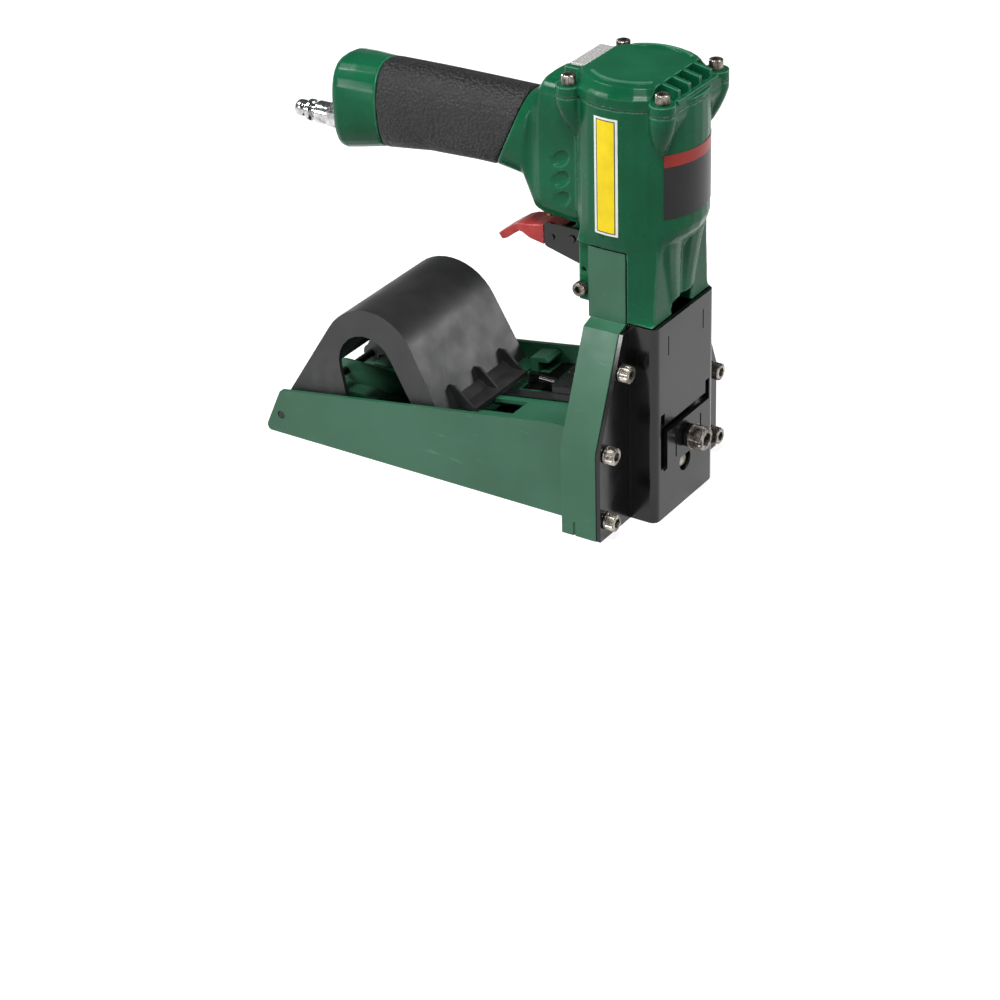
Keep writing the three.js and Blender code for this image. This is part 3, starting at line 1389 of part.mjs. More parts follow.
function roll_guide() {
  const floor_z = tray_wall + seat_gap;
  const eye = arc(hinge_y, hinge_z, roll_guide_eye, -90, 90, corner_steps * 3);
  const side = [
    [roll_guide_front_y, floor_z], ...eye.map(([y, z]) => [y, Math.max(z, floor_z)]),
    [roll_guide_step_y + roll_guide_eye * 2, roll_guide_low_top_z],
    [roll_guide_step_y, track_top(roll_guide_step_y)],
    [tray_top_flat_y, track_top(tray_top_flat_y)], [roll_guide_front_y, track_top(roll_guide_front_y)],
  ];
  const outer = prism('x', side, -roll_guide_half_width, roll_guide_half_width);
  const inner_half = roll_guide_half_width - roll_guide_wall;
  const room = block(-inner_half, inner_half, roll_guide_front_y - cut_over, hinge_y * 2,
    floor_z + roll_guide_wall, tray_top_front_z * 2);
  const pin_hole = rod('x', hinge_pin_radius + run_gap, hinge_y, hinge_z,
    -roll_guide_half_width - cut_over, roll_guide_half_width + cut_over, pin_sides);
  return outer.subtract(room).subtract(pin_hole);
}

function staple_track() {
  const half = roll_guide_half_width - roll_guide_wall - seat_gap;
  const rear = track_rear_y;
  const top = track_top(rear);
  return prism('x', [
    [roll_guide_front_y, track_top(roll_guide_front_y) - track_wall],
    [tray_top_flat_y, track_top(tray_top_flat_y) - track_wall],
    [rear, top - track_wall], [rear + track_lip, top - track_lip],
    [rear + track_lip + track_wall, top - track_lip], [rear + track_wall / 2, top],
    [tray_top_flat_y, track_top(tray_top_flat_y)], [roll_guide_front_y, track_top(roll_guide_front_y)],
  ], -half, half);
}

// Slide that pushes the strip forward; its pawl reaches down through the slot in the deck
function feed_slide() {
  const floor = (y) => deck_top(y) - channel_depth + seat_gap;
  const rear = feed_front_y + feed_length;
  const step_z = feed_top_z - feed_step * 2;
  const centre = pawl_slot_x;
  const body = prism('x', [
    [feed_front_y, floor(feed_front_y)], [rear, floor(rear)], [rear, step_z],
    [rear - feed_step, step_z + feed_step], [rear - feed_step * 2, feed_top_z],
    [feed_front_y + feed_step, feed_top_z], [feed_front_y, step_z],
  ], centre - feed_half_width, centre + feed_half_width);
  const slot = block(centre - feed_slot_width / 2, centre + feed_slot_width / 2, feed_front_y - cut_over,
    rear + cut_over, step_z + feed_step, feed_top_z + cut_over);
  const guide_rod = rod('y', feed_rod_radius, step_z - feed_step, centre, rear - cut_over,
    rear + feed_rod_length, screw_sides);
  const pawl_half = pawl_slot_half_width - pawl_gap;
  const pawl = prism('x', [
    [feed_front_y + feed_step, floor(feed_front_y) + cut_over],
    [feed_front_y + feed_step, floor(feed_front_y) - pawl_drop],
    [feed_front_y + feed_step * 2, floor(feed_front_y) - pawl_drop / 2],
    [rear - feed_step, floor(rear) + cut_over],
  ], centre - pawl_half, centre + pawl_half);
  return join([body.subtract(slot), guide_rod, pawl]);
}

// Side outline of the cover, moved inward by a wall, as (y, z)
function cover_outline(wall) {
  const radius = cover_arc_radius - wall;
  const foot_z = deck_top(lip_front_y) + seat_gap;
  const front = new THREE.Vector2(cover_front_foot_y, foot_z);
  const rear = new THREE.Vector2(cover_rear_foot_y, cover_rear_foot_z);
  const centre = new THREE.Vector2(cover_arc_y, cover_arc_z);
  const tangent_deg = (foot, side) => {
    const away = foot.clone().sub(centre);
    const lean = Math.acos(cover_arc_radius / away.length());
    return (THREE.MathUtils.radToDeg(away.angle() + side * lean));
  };
  const front_deg = tangent_deg(front, -1);
  const rear_deg = tangent_deg(rear, 1) - half_turn * 2;
  const lean_front = radians(front_deg);
  const lean_rear = radians(rear_deg);
  const moved_front = [front.x - wall * Math.cos(lean_front), front.y - wall * Math.sin(lean_front)];
  const moved_rear = [rear.x - wall * Math.cos(lean_rear), rear.y - wall * Math.sin(lean_rear)];
  const bow = arc(cover_arc_y, cover_arc_z, radius, front_deg, rear_deg, cover_arc_steps);
  return [moved_front, ...bow, moved_rear];
}

function arch_outline() {
  return [
    [arch_front_foot_y, deck_top(lip_front_y) - cut_over * 2],
    ...arc(arch_y, arch_z, arch_radius, half_turn - 30, -15, arch_steps),
    [arch_rear_foot_y, tray_wall * 2],
  ];
}

function cover_lip() {
  const low = deck_top(lip_front_y) + seat_gap;
  const foot = cover_front_foot_y + lip_fillet;
  return prism('x', [
    [lip_front_y, low], [foot, low], [foot, low + lip_fillet], [cover_front_foot_y, low + lip_wall * 2],
    [cover_front_foot_y - lip_fillet / 2, low + lip_wall], [lip_front_y, low + lip_wall],
  ], -lip_half_width, lip_half_width);
}

function gusset(x) {
  const low = deck_top(lip_front_y) + seat_gap + lip_wall / 2;
  const front = lip_front_y + gusset_setback;
  const rear = cover_front_foot_y + lip_fillet;
  return prism('x', [
    [front, low], [rear, low], [rear, low + gusset_height],
    [cover_front_foot_y + gusset_wall, low + gusset_height],
    [front, low + lip_wall / 2],
  ], x - gusset_wall / 2, x + gusset_wall / 2);
}

// Wedge that gives the end walls their draft, drawn out along the tool
function cover_draft_wedge(inset) {
  const foot = cover_half_width - inset;
  const top = foot - cover_draft;
  return prism('y', [
    [-cover_top_z, foot], [cover_rear_foot_z, foot], [cover_top_z + cut_over * 2, top],
    [cover_top_z + cut_over * 2, -top], [cover_rear_foot_z, -foot], [-cover_top_z, -foot],
  ], 0, tray_rear_y);
}

// Ear of the cover's end wall that reaches down to the hinge pin
function cover_ear(low, high) {
  const tip = rod('x', cover_lug_radius, hinge_y, hinge_z, low, high, pin_sides);
  const leg = prism('x', [
    [hinge_y - cover_lug_radius, hinge_z], [hinge_y + cover_lug_radius, hinge_z],
    [cover_rear_foot_y, cover_rear_foot_z], [cover_leg_front_y, cover_rear_foot_z + cover_lug_radius],
    [cover_leg_front_y, hinge_z + cover_lug_radius],
  ], low, high);
  return tip.add(leg);
}

function roll_cover() {
  const inner_half = cover_half_width - cover_wall;
  const outer = prism('x', cover_outline(0), -cover_half_width, cover_half_width);
  const wall_below = cover_outline(cover_wall);
  const first = wall_below[0];
  const last = wall_below[wall_below.length - 1];
  const inner = prism('x', [
    [first[0], first[1] - cut_over * 3], ...wall_below, [last[0], last[1] - cut_over * 3],
    [cover_front_foot_y + cover_wall * 2, hinge_z],
  ], -inner_half, inner_half).intersect(cover_draft_wedge(cover_wall));
  const arch = prism('x', arch_outline(), -cover_half_width - cut_over, cover_half_width + cut_over);
  const ears = cover_ear(inner_half, cover_half_width);
  const pin_hole = rod('x', hinge_pin_radius + run_gap, hinge_y, hinge_z,
    -cover_half_width - cut_over, cover_half_width + cut_over, pin_sides);
  const lip_room = prism('x', cover_outline(cover_wall / 2), -inner_half, inner_half);
  const front = [cover_lip(), ...[-1, 0, 1].map((place) => gusset(place * gusset_pitch))]
    .map((part) => part.subtract(lip_room));
  const shell = outer.intersect(cover_draft_wedge(0)).subtract(inner).subtract(arch);
  return join([shell, ears, mirror(ears), ...front]).subtract(pin_hole);
}

function cover_catch() {
  const seat = (y) => deck_top(y) + seat_gap;
  const rear = catch_front_y + catch_length;
  const post_y = rear - catch_post_length;
  const pad = prism('x', [
    [catch_front_y, seat(catch_front_y) + catch_lift], [rear, seat(rear) + catch_lift],
    [rear, seat(rear) + catch_lift + catch_wall],
    [catch_front_y + catch_wall, seat(catch_front_y) + catch_lift + catch_wall],
    [catch_front_y, seat(catch_front_y) + catch_lift + catch_wall / 2],
  ], catch_x - catch_half_width, catch_x + catch_half_width);
  const post = block(catch_x - catch_half_width, catch_x + catch_half_width, post_y, rear,
    deck_top(rear) - deck_wall - catch_post_length, seat(rear) + catch_lift + cut_over);
  const hole = rod('x', catch_pin_radius + run_gap, rear - catch_post_length / 2,
    catch_pin_z(), -tray_half_width, tray_half_width, screw_sides);
  return pad.add(post).subtract(hole);
}

function catch_pin_z() {
  return deck_top(catch_front_y + catch_length) - deck_wall - catch_post_length / 2;
}

function catch_pin() {
  return rod('x', catch_pin_radius, catch_front_y + catch_length - catch_post_length / 2, catch_pin_z(),
    channel_far_x + deck_wall + seat_gap, tray_inner - seat_gap, screw_sides);
}

piece('main_frame', main_frame(), green_paint);
piece('front_plate', front_plate(), black_paint);
piece('lock_nut', lock_nut(), black_paint);
piece('adjuster_screw', adjuster_screw(), bright_steel);
flange_screw_places().forEach(([x, z], i) => {
  piece(`flange_screw_${i + 1}`, flange_screw(x, z), bright_steel);
  piece(`spring_washer_${i + 1}`, spring_washer(x, z), bright_steel);
});
piece('driver_guide_front', driver_guide_front(), tool_steel);
piece('driver_guide_rear', driver_guide_rear(), tool_steel);
piece('anvil_right', anvil(), tool_steel);
piece('anvil_left', mirror(anvil()), tool_steel);
piece('anvil_pin_right', anvil_pin(1), bright_steel);
piece('anvil_pin_left', anvil_pin(-1), bright_steel);
piece('body_housing', body_housing(), green_paint);
piece('grip_sleeve', grip_sleeve(), black_rubber);
piece('handle_end_cap', handle_end_cap(), green_paint);
piece('air_plug', air_plug(), bright_steel);
piece('cap_gasket', cap_gasket(), black_rubber);
piece('cylinder_cap', cylinder_cap(), green_paint);
piece('cap_plate', cap_plate(), aluminium);
boss_places().forEach(([x, y], i) => piece(`cap_screw_${i + 1}`, cap_screw(x, y), bright_steel));
piece('cylinder_liner', cylinder_liner(), aluminium);
piece('main_piston', main_piston(), aluminium);
piece('piston_ring', piston_ring(), black_rubber);
piece('driver_blade', driver_blade(), tool_steel);
piece('piston_bumper', piston_bumper(), black_rubber);
piece('head_valve', head_valve(), black_plastic);
piece('valve_body', valve_body(), brass);
piece('valve_stem', valve_stem(), brass);
piece('trigger_arm', trigger_arm(), black_paint);
piece('finger_lever', finger_lever(), red_plastic);
piece('trigger_pin', cross_pin(trigger_pin_radius, trigger_pivot_y, trigger_pivot_z,
  trigger_half_width + trigger_sheet / 2), bright_steel);
piece('lever_rivet', cross_pin(lever_pin_radius, lever_pin_y, lever_pin_z,
  trigger_half_width + trigger_sheet / 2), bright_steel);
piece('side_screw_right', side_screw(1), bright_steel);
piece('side_screw_left', side_screw(-1), bright_steel);
piece('magazine_tray', magazine_tray(), green_paint);
piece('roll_guide', roll_guide(), green_paint);
piece('staple_track', staple_track(), black_paint);
piece('feed_slide', feed_slide(), black_paint);
piece('roll_cover', roll_cover(), black_plastic);
piece('cover_hinge_pin', cross_pin(hinge_pin_radius, hinge_y, hinge_z, tray_half_width - seat_gap), bright_steel);
piece('cover_catch', cover_catch(), green_paint);
piece('catch_pin', catch_pin(), bright_steel);

export default stapler;
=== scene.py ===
import math

import bmesh
import bpy
from mathutils import Matrix, Vector


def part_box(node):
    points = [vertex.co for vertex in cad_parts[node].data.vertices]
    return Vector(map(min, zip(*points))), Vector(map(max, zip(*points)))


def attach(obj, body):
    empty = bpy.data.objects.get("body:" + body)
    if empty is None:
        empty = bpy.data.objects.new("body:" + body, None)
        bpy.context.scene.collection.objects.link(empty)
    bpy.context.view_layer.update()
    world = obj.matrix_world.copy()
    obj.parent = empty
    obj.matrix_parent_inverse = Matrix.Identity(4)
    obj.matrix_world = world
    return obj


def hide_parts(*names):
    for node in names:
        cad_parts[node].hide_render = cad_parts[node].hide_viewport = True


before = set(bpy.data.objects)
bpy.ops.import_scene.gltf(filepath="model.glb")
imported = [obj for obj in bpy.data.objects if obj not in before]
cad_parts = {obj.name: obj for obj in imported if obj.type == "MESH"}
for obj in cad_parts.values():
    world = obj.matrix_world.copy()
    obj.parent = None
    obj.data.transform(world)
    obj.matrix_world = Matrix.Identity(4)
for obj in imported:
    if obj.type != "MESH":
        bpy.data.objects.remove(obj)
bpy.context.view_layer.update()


# The studio: a white table under soft boxes, seen from the photograph's angle.
# The tool stands on the bottom edges of its magazine and its nose. The table is plain matt board,
# which shows white to the lens and in the gloss, and takes the tool's own soft shadow.
view_azimuth = math.radians(-56.37)
view_elevation = math.radians(29.68)
view_roll = math.radians(-1.68)
camera_place = Vector((-1.2306, -0.7179, 0.8082))
lens_length = 109.54
film_width = 36
lens_near = 0.05
table_size = 30
table_drop = 0.0002
table_shade = (0.35, 0.35, 0.35, 1)
table_glow = 0.86
table_haze = 0.9
horizon_light = (0.74, 0.75, 0.76, 1)
zenith_light = (0.26, 0.27, 0.28, 1)
horizon_height = 0.05
zenith_height = 0.42
ambient_strength = 0.4
tool_middle = Vector((0, 0.07, 0.1))

bpy.ops.object.select_all(action="DESELECT")
bpy.ops.object.camera_add(location=camera_place)
camera = bpy.context.object
camera_turn = (
    Matrix.Rotation(view_azimuth, 4, "Z")
    @ Matrix.Rotation(math.pi / 2 - view_elevation, 4, "X")
    @ Matrix.Rotation(view_roll, 4, "Z")
)
camera.matrix_world = Matrix.Translation(camera_place) @ camera_turn
camera.data.sensor_width = film_width
camera.data.lens = lens_length
camera.data.clip_start = lens_near
bpy.context.scene.camera = camera
bpy.context.scene.view_settings.view_transform = "Standard"


def soft_box(name, place, width, power):
    """A square studio lamp at place, facing the tool."""
    aim = (tool_middle - Vector(place)).to_track_quat("-Z", "Y")
    bpy.ops.object.light_add(type="AREA", location=place, rotation=aim.to_euler())
    lamp = bpy.context.object
    lamp.name = name
    lamp.data.size = width
    lamp.data.energy = power


soft_box("front_box", (1.55, -1.55, 0.75), 0.7, 22)
soft_box("rear_left_box", (-2.1, 1.3, 0.85), 0.6, 24)
soft_box("rear_box", (-0.5, 1.45, 1.8), 0.42, 28)
soft_box("top_box", (-0.85, -0.45, 1.95), 0.5, 34)

bpy.ops.mesh.primitive_plane_add(size=table_size, location=(0, 0, -table_drop))
table = bpy.context.object
table.name = "studio_table"
board = bpy.data.materials.new("matt_board")
board.use_nodes = True
board_nodes = board.node_tree.nodes
board_links = board.node_tree.links
board_face = board_nodes["Principled BSDF"]
board_face.inputs["Base Color"].default_value = table_shade
board_face.inputs["Roughness"].default_value = table_haze
board_face.inputs["Specular IOR Level"].default_value = 0
board_face.inputs["Emission Color"].default_value = (1, 1, 1, 1)
board_path = board_nodes.new("ShaderNodeLightPath")
seen_rays = board_path.outputs["Is Camera Ray"]
for ray_kind in ("Is Glossy Ray", "Is Transmission Ray"):
    either = board_nodes.new("ShaderNodeMath")
    either.operation = "MAXIMUM"
    board_links.new(seen_rays, either.inputs[0])
    board_links.new(board_path.outputs[ray_kind], either.inputs[1])
    seen_rays = either.outputs[0]
board_glow = board_nodes.new("ShaderNodeMath")
board_glow.operation = "MULTIPLY"
board_glow.inputs[1].default_value = table_glow
board_links.new(seen_rays, board_glow.inputs[0])
board_links.new(board_glow.outputs[0], board_face.inputs["Emission Strength"])
table.data.materials.append(board)

studio = bpy.data.worlds.new("studio_air")
studio.use_nodes = True
bpy.context.scene.world = studio
air_nodes = studio.node_tree.nodes
air_links = studio.node_tree.links
air_direction = air_nodes.new("ShaderNodeTexCoord")
air_split = air_nodes.new("ShaderNodeSeparateXYZ")
air_ramp = air_nodes.new("ShaderNodeValToRGB")
air_ramp.color_ramp.elements[0].position = horizon_height
air_ramp.color_ramp.elements[0].color = horizon_light
air_ramp.color_ramp.elements[1].position = zenith_height
air_ramp.color_ramp.elements[1].color = zenith_light
air_links.new(air_direction.outputs["Generated"], air_split.inputs["Vector"])
air_links.new(air_split.outputs["Z"], air_ramp.inputs["Fac"])
air_links.new(air_ramp.outputs["Color"], air_nodes["Background"].inputs["Color"])
air_nodes["Background"].inputs["Strength"].default_value = ambient_strength


# The body casting: barrel, neck and handle in one piece of pressure cast aluminium. Its cast
# corners are round, so the merged solid is remeshed and eased. The deep green enamel lies a
# little wavy on it, with a painted highlight in pale green on the crests.
casting_voxel = 0.00096
casting_rounds = 4
ease_share = 0.5
merge_distance = 0.000002
enamel_deep = (11, 78, 49)
enamel_pale = (17, 89, 58)
# Painted highlight: a pale green laid on the casting's crests and outward corners.
enamel_edge_highlight = (96, 152, 122)
enamel_patch = 0.035
enamel_wave = 0.0022
enamel_wave_depth = 0.00003
enamel_gloss = (0.2, 0.3)
enamel_mirror = 0.12
enamel_bend = (0.515, 0.56)
edge_highlight_share = 0.55
cloud_span = (0.35, 0.65)
wide_span = (0.3, 0.7)


def tint(shade):
    """The shader's colour for a red, green and blue from 0 to 255 as the eye sees them."""
    shares = [part / 255 for part in shade]
    straight = [s / 12.92 if s <= 0.04045 else ((s + 0.055) / 1.055) ** 2.4 for s in shares]
    return (*straight, 1)


def new_finish(name, metallic=0.0):
    """An empty finish: its material, its node tree, its shader and the place on the tool."""
    material = bpy.data.materials.new(name)
    material.use_nodes = True
    tree = material.node_tree
    shader = tree.nodes["Principled BSDF"]
    shader.inputs["Metallic"].default_value = metallic
    place = tree.nodes.new("ShaderNodeTexCoord").outputs["Object"]
    return material, tree, shader, place


def cloud(tree, place, size, detail=3.0, stretch=(1, 1, 1)):
    """Noise with blobs about size across, drawn out by stretch along each axis."""
    spread = tree.nodes.new("ShaderNodeMapping")
    spread.inputs["Scale"].default_value = [1 / long for long in stretch]
    noise = tree.nodes.new("ShaderNodeTexNoise")
    noise.inputs["Scale"].default_value = 1 / size
    noise.inputs["Detail"].default_value = detail
    tree.links.new(place, spread.inputs["Vector"])
    tree.links.new(spread.outputs["Vector"], noise.inputs["Vector"])
    return noise.outputs["Fac"]


def between(tree, value, low, high, first, last):
    """A number that goes from first to last as value goes from low to high."""
    span = tree.nodes.new("ShaderNodeMapRange")
    span.inputs["From Min"].default_value = low
    span.inputs["From Max"].default_value = high
    span.inputs["To Min"].default_value = first
    span.inputs["To Max"].default_value = last
    tree.links.new(value, span.inputs["Value"])
    return span.outputs["Result"]


def mixed(tree, share, first, last):
    """Colour first where share is 0 and last where it is 1; each is a shade or a socket."""
    mix = tree.nodes.new("ShaderNodeMix")
    mix.data_type = "RGBA"
    tree.links.new(share, mix.inputs["Factor"])
    for socket, colour in zip((mix.inputs[6], mix.inputs[7]), (first, last)):
        if isinstance(colour, tuple):
            socket.default_value = tint(colour)
        else:
            tree.links.new(colour, socket)
    return mix.outputs[2]


def relief(tree, shader, height, depth):
    """Raises the surface by depth where height is 1, over what relief it has already."""
    bump = tree.nodes.new("ShaderNodeBump")
    bump.inputs["Distance"].default_value = depth
    tree.links.new(height, bump.inputs["Height"])
    if shader.inputs["Normal"].is_linked:
        tree.links.new(shader.inputs["Normal"].links[0].from_socket, bump.inputs["Normal"])
    tree.links.new(bump.outputs["Normal"], shader.inputs["Normal"])


def clouded(tree, place, size, first, last):
    """A colour that drifts from first to last in clouds about size across."""
    share = between(tree, cloud(tree, place, size), *cloud_span, 0, 1)
    return mixed(tree, share, first, last)


def hazed(tree, shader, place, size, gloss):
    """Lets the roughness drift between the two values of gloss, in clouds about size across."""
    haze = between(tree, cloud(tree, place, size), *wide_span, *gloss)
    tree.links.new(haze, shader.inputs["Roughness"])


def green_enamel():
    """Deep green enamel, cloudy and a little wavy, with a painted highlight on outward corners."""
    material, tree, shader, place = new_finish("cast_green_enamel")
    colour = clouded(tree, place, enamel_patch, enamel_deep, enamel_pale)
    bend = tree.nodes.new("ShaderNodeNewGeometry").outputs["Pointiness"]
    # Painted highlight: the crests turn pale green.
    crest = between(tree, bend, *enamel_bend, 0, edge_highlight_share)
    tree.links.new(mixed(tree, crest, colour, enamel_edge_highlight), shader.inputs["Base Color"])
    hazed(tree, shader, place, enamel_patch / 4, enamel_gloss)
    shader.inputs["Specular IOR Level"].default_value = enamel_mirror
    relief(tree, shader, cloud(tree, place, enamel_wave), enamel_wave_depth)
    return material


def take(piece):
    """Makes piece the only one selected, and the one that the next steps work on."""
    bpy.ops.object.select_all(action="DESELECT")
    piece.select_set(True)
    bpy.context.view_layer.objects.active = piece


def merged_copy(node, name):
    """A copy of a CAD solid with its corners joined up, to be worked on."""
    piece = bpy.data.objects.new(name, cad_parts[node].data.copy())
    bpy.context.scene.collection.objects.link(piece)
    take(piece)
    bpy.ops.object.mode_set(mode="EDIT")
    bpy.ops.mesh.select_all(action="SELECT")
    bpy.ops.mesh.remove_doubles(threshold=merge_distance)
    bpy.ops.object.mode_set(mode="OBJECT")
    piece.data.materials.clear()
    return piece


def eased(piece, voxel, rounds):
    """The piece with every corner eased, as a cast or moulded one has them."""
    take(piece)
    piece.data.remesh_voxel_size = voxel
    piece.data.remesh_voxel_adaptivity = 0
    bpy.ops.object.voxel_remesh()
    ease = piece.modifiers.new("ease", "SMOOTH")
    ease.factor = ease_share
    ease.iterations = rounds
    bpy.ops.object.modifier_apply(modifier=ease.name)
    bpy.ops.object.shade_smooth()
    return piece


def hand_over(piece, finish, body, slot, *nodes):
    """Gives a finished piece its material and its body, and hides the CAD solids it stands for;
    its slot is not used.
    """
    piece.data.materials.append(finish)
    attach(piece, body)
    if nodes:
        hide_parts(*nodes)


casting = eased(merged_copy("body_housing", "body_casting"), casting_voxel, casting_rounds)
cast_enamel = green_enamel()
hand_over(casting, cast_enamel, "tool_body", "green_paint", "body_housing")


# The cylinder cap with its gasket: a flat green casting that closes the barrel over a paper
# gasket, painted over. It carries two bowed ridges and four short fins, and behind it lies an
# etched alloy plate.
cap_voxel = 0.00052
cap_rounds = 2
gasket_dark = (24, 52, 38)
gasket_light = (34, 66, 48)
gasket_spot = 0.003
gasket_span = (0.4, 0.6)
gasket_haze = 0.7
gasket_grain = 0.0006
gasket_grain_depth = 0.00003
gasket_edge = 0.0001
alloy_dark = (150, 149, 147)
alloy_light = (228, 227, 225)
alloy_pit = 0.0009
alloy_depth = 0.00016
alloy_metal = 0.4
alloy_haze = 0.42
alloy_edge = 0.0003
ridge_outer = 0.0272
ridge_inner = 0.0254
ridge_degrees = 82
ridge_foot = 0.0008
ridge_edge = 0.0003
spin_steps = 40
bar_corner = math.radians(60)
bar_crease = math.radians(50)
edge_steps = 2
flat_within = math.radians(0.5)
sharp_from = math.radians(33)
barrel_y = 0.0075

cap = eased(merged_copy("cylinder_cap", "cylinder_cap_casting"), cap_voxel, cap_rounds)
hand_over(cap, cast_enamel, "tool_body", "green_paint", "cylinder_cap")


def spun_bar(name, outer, inner, wall, degrees, edge):
    """A flat bar bent round the Z axis from +X by so many degrees, with its edges broken."""
    bpy.ops.object.select_all(action="DESELECT")
    bpy.ops.mesh.primitive_plane_add(size=1, location=((outer + inner) / 2, 0, 0))
    bar = bpy.context.object
    bar.name = name
    bar.scale = (outer - inner, wall, 1)
    bar.rotation_euler = (math.radians(90), 0, 0)
    bpy.ops.object.transform_apply()
    bpy.ops.object.mode_set(mode="EDIT")
    bpy.ops.mesh.select_all(action="SELECT")
    bpy.ops.mesh.spin(
        steps=spin_steps,
        angle=math.radians(degrees),
        center=(0, 0, 0),
        axis=(0, 0, 1),
    )
    bpy.ops.mesh.select_all(action="SELECT")
    bpy.ops.mesh.normals_make_consistent(inside=False)
    bpy.ops.object.mode_set(mode="OBJECT")
    broken = bar.modifiers.new("broken", "BEVEL")
    broken.width = edge
    broken.segments = edge_steps
    broken.limit_method = "ANGLE"
    broken.angle_limit = bar_corner
    bpy.ops.object.modifier_apply(modifier=broken.name)
    bpy.ops.object.shade_smooth_by_angle(angle=bar_crease)
    return bar


def set_copy(model, name, place, turn):
    """A copy of a model with its own mesh, turned and set at its place."""
    piece = bpy.data.objects.new(name, model.data.copy())
    bpy.context.scene.collection.objects.link(piece)
    piece.matrix_world = Matrix.Translation(place) @ turn
    take(piece)
    bpy.ops.object.transform_apply()
    return piece


cap_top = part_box("cylinder_cap")[1].z
ridge_middle = (0, barrel_y, cap_top - ridge_foot)
ridge_model = spun_bar(
    "ridge_model", ridge_outer, ridge_inner, ridge_foot * 2, ridge_degrees, ridge_edge
)
for name, middle_degrees in (("cap_ridge_left", 180), ("cap_ridge_right", 0)):
    turn = Matrix.Rotation(math.radians(middle_degrees + ridge_degrees / 2), 4, "Z")
    ridge = set_copy(ridge_model, name, ridge_middle, turn)
    hand_over(ridge, cast_enamel, "tool_body", "green_paint")
bpy.data.objects.remove(ridge_model)


def dress(node, finish, edge, whole=True):
    """Gives a CAD solid its finish, breaks its sharp edges and shades its curves smooth.

    Its flat faces are made whole first, but not where one of them is a bent ring, which would
    close over the opening inside it.
    """
    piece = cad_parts[node]
    piece.data.materials.clear()
    piece.data.materials.append(finish)
    take(piece)
    bpy.ops.object.shade_smooth()
    joined = piece.modifiers.new("joined", "WELD")
    joined.merge_threshold = merge_distance
    if whole:
        flat = piece.modifiers.new("whole_faces", "DECIMATE")
        flat.decimate_type = "DISSOLVE"
        flat.angle_limit = flat_within
    broken = piece.modifiers.new("broken_edges", "BEVEL")
    broken.width = edge
    broken.segments = edge_steps
    broken.limit_method = "ANGLE"
    broken.angle_limit = sharp_from
    even = piece.modifiers.new("even_shade", "WEIGHTED_NORMAL")
    even.keep_sharp = True


def etched_alloy():
    """Bare alloy with a coarse etched grain, as on the plate behind the cap."""
    material, tree, shader, place = new_finish("etched_alloy", alloy_metal)
    grain = cloud(tree, place, alloy_pit, detail=6)
    shine = between(tree, grain, *cloud_span, 0, 1)
    tree.links.new(mixed(tree, shine, alloy_dark, alloy_light), shader.inputs["Base Color"])
    shader.inputs["Roughness"].default_value = alloy_haze
    relief(tree, shader, grain, alloy_depth)
    return material


def gasket_paper():
    """Oiled green paper, mottled and a little rough."""
    material, tree, shader, place = new_finish("gasket_paper")
    spots = between(tree, cloud(tree, place, gasket_spot), *gasket_span, 0, 1)
    tree.links.new(mixed(tree, spots, gasket_dark, gasket_light), shader.inputs["Base Color"])
    shader.inputs["Roughness"].default_value = gasket_haze
    relief(tree, shader, cloud(tree, place, gasket_grain), gasket_grain_depth)
    return material


dress("cap_plate", etched_alloy(), alloy_edge)
dress("cap_gasket", gasket_paper(), gasket_edge)


# The socket screws of the cap and the two at the sides of the straps: turned alloy steel, oiled
# brown grey, with a ribbed head, a hexagon socket and a chamfered rim. The thread is out of sight.
cap_head_height = 0.005
cap_rib_count = 30
side_head_height = 0.004
side_rib_count = 24
rib_depth = 0.06
rim_share = 0.1
key_share = 0.52
key_depth_share = 0.55
shank_share = 0.6
steel_dark = (80, 74, 67)
steel_light = (160, 153, 144)
steel_rust = (92, 70, 52)
steel_metal = 0.85
steel_patch = 0.0035
rust_span = (0.56, 0.72)
rust_share = 0.6
steel_gloss = (0.2, 0.38)
steel_grain = 0.0004
steel_grain_depth = 0.00002
screw_crease = math.radians(28)
facing = 0.9


def oiled_metal(name, dark, light):
    """Bright metal under oil: cloudy, with brown spots and a fine grain."""
    material, tree, shader, place = new_finish(name, steel_metal)
    colour = clouded(tree, place, steel_patch, dark, light)
    spots = cloud(tree, place, steel_patch / 3, detail=5)
    rust = between(tree, spots, *rust_span, 0, rust_share)
    tree.links.new(mixed(tree, rust, colour, steel_rust), shader.inputs["Base Color"])
    hazed(tree, shader, place, steel_patch / 5, steel_gloss)
    relief(tree, shader, cloud(tree, place, steel_grain), steel_grain_depth)
    return material


def pick_faces(test):
    """Selects, in edit mode, only the faces whose centre and normal pass the test."""
    bpy.ops.mesh.select_mode(type="FACE")
    bpy.ops.mesh.select_all(action="DESELECT")
    shape = bmesh.from_edit_mesh(bpy.context.object.data)
    for face in shape.faces:
        face.select_set(test(face.calc_center_median(), face.normal))
    bmesh.update_edit_mesh(bpy.context.object.data)


def pick_points(test):
    """Selects, in edit mode, only the points whose place passes the test."""
    bpy.ops.mesh.select_mode(type="VERT")
    bpy.ops.mesh.select_all(action="DESELECT")
    shape = bmesh.from_edit_mesh(bpy.context.object.data)
    for point in shape.verts:
        point.select_set(test(point.co))
    shape.select_flush_mode()
    bmesh.update_edit_mesh(bpy.context.object.data)


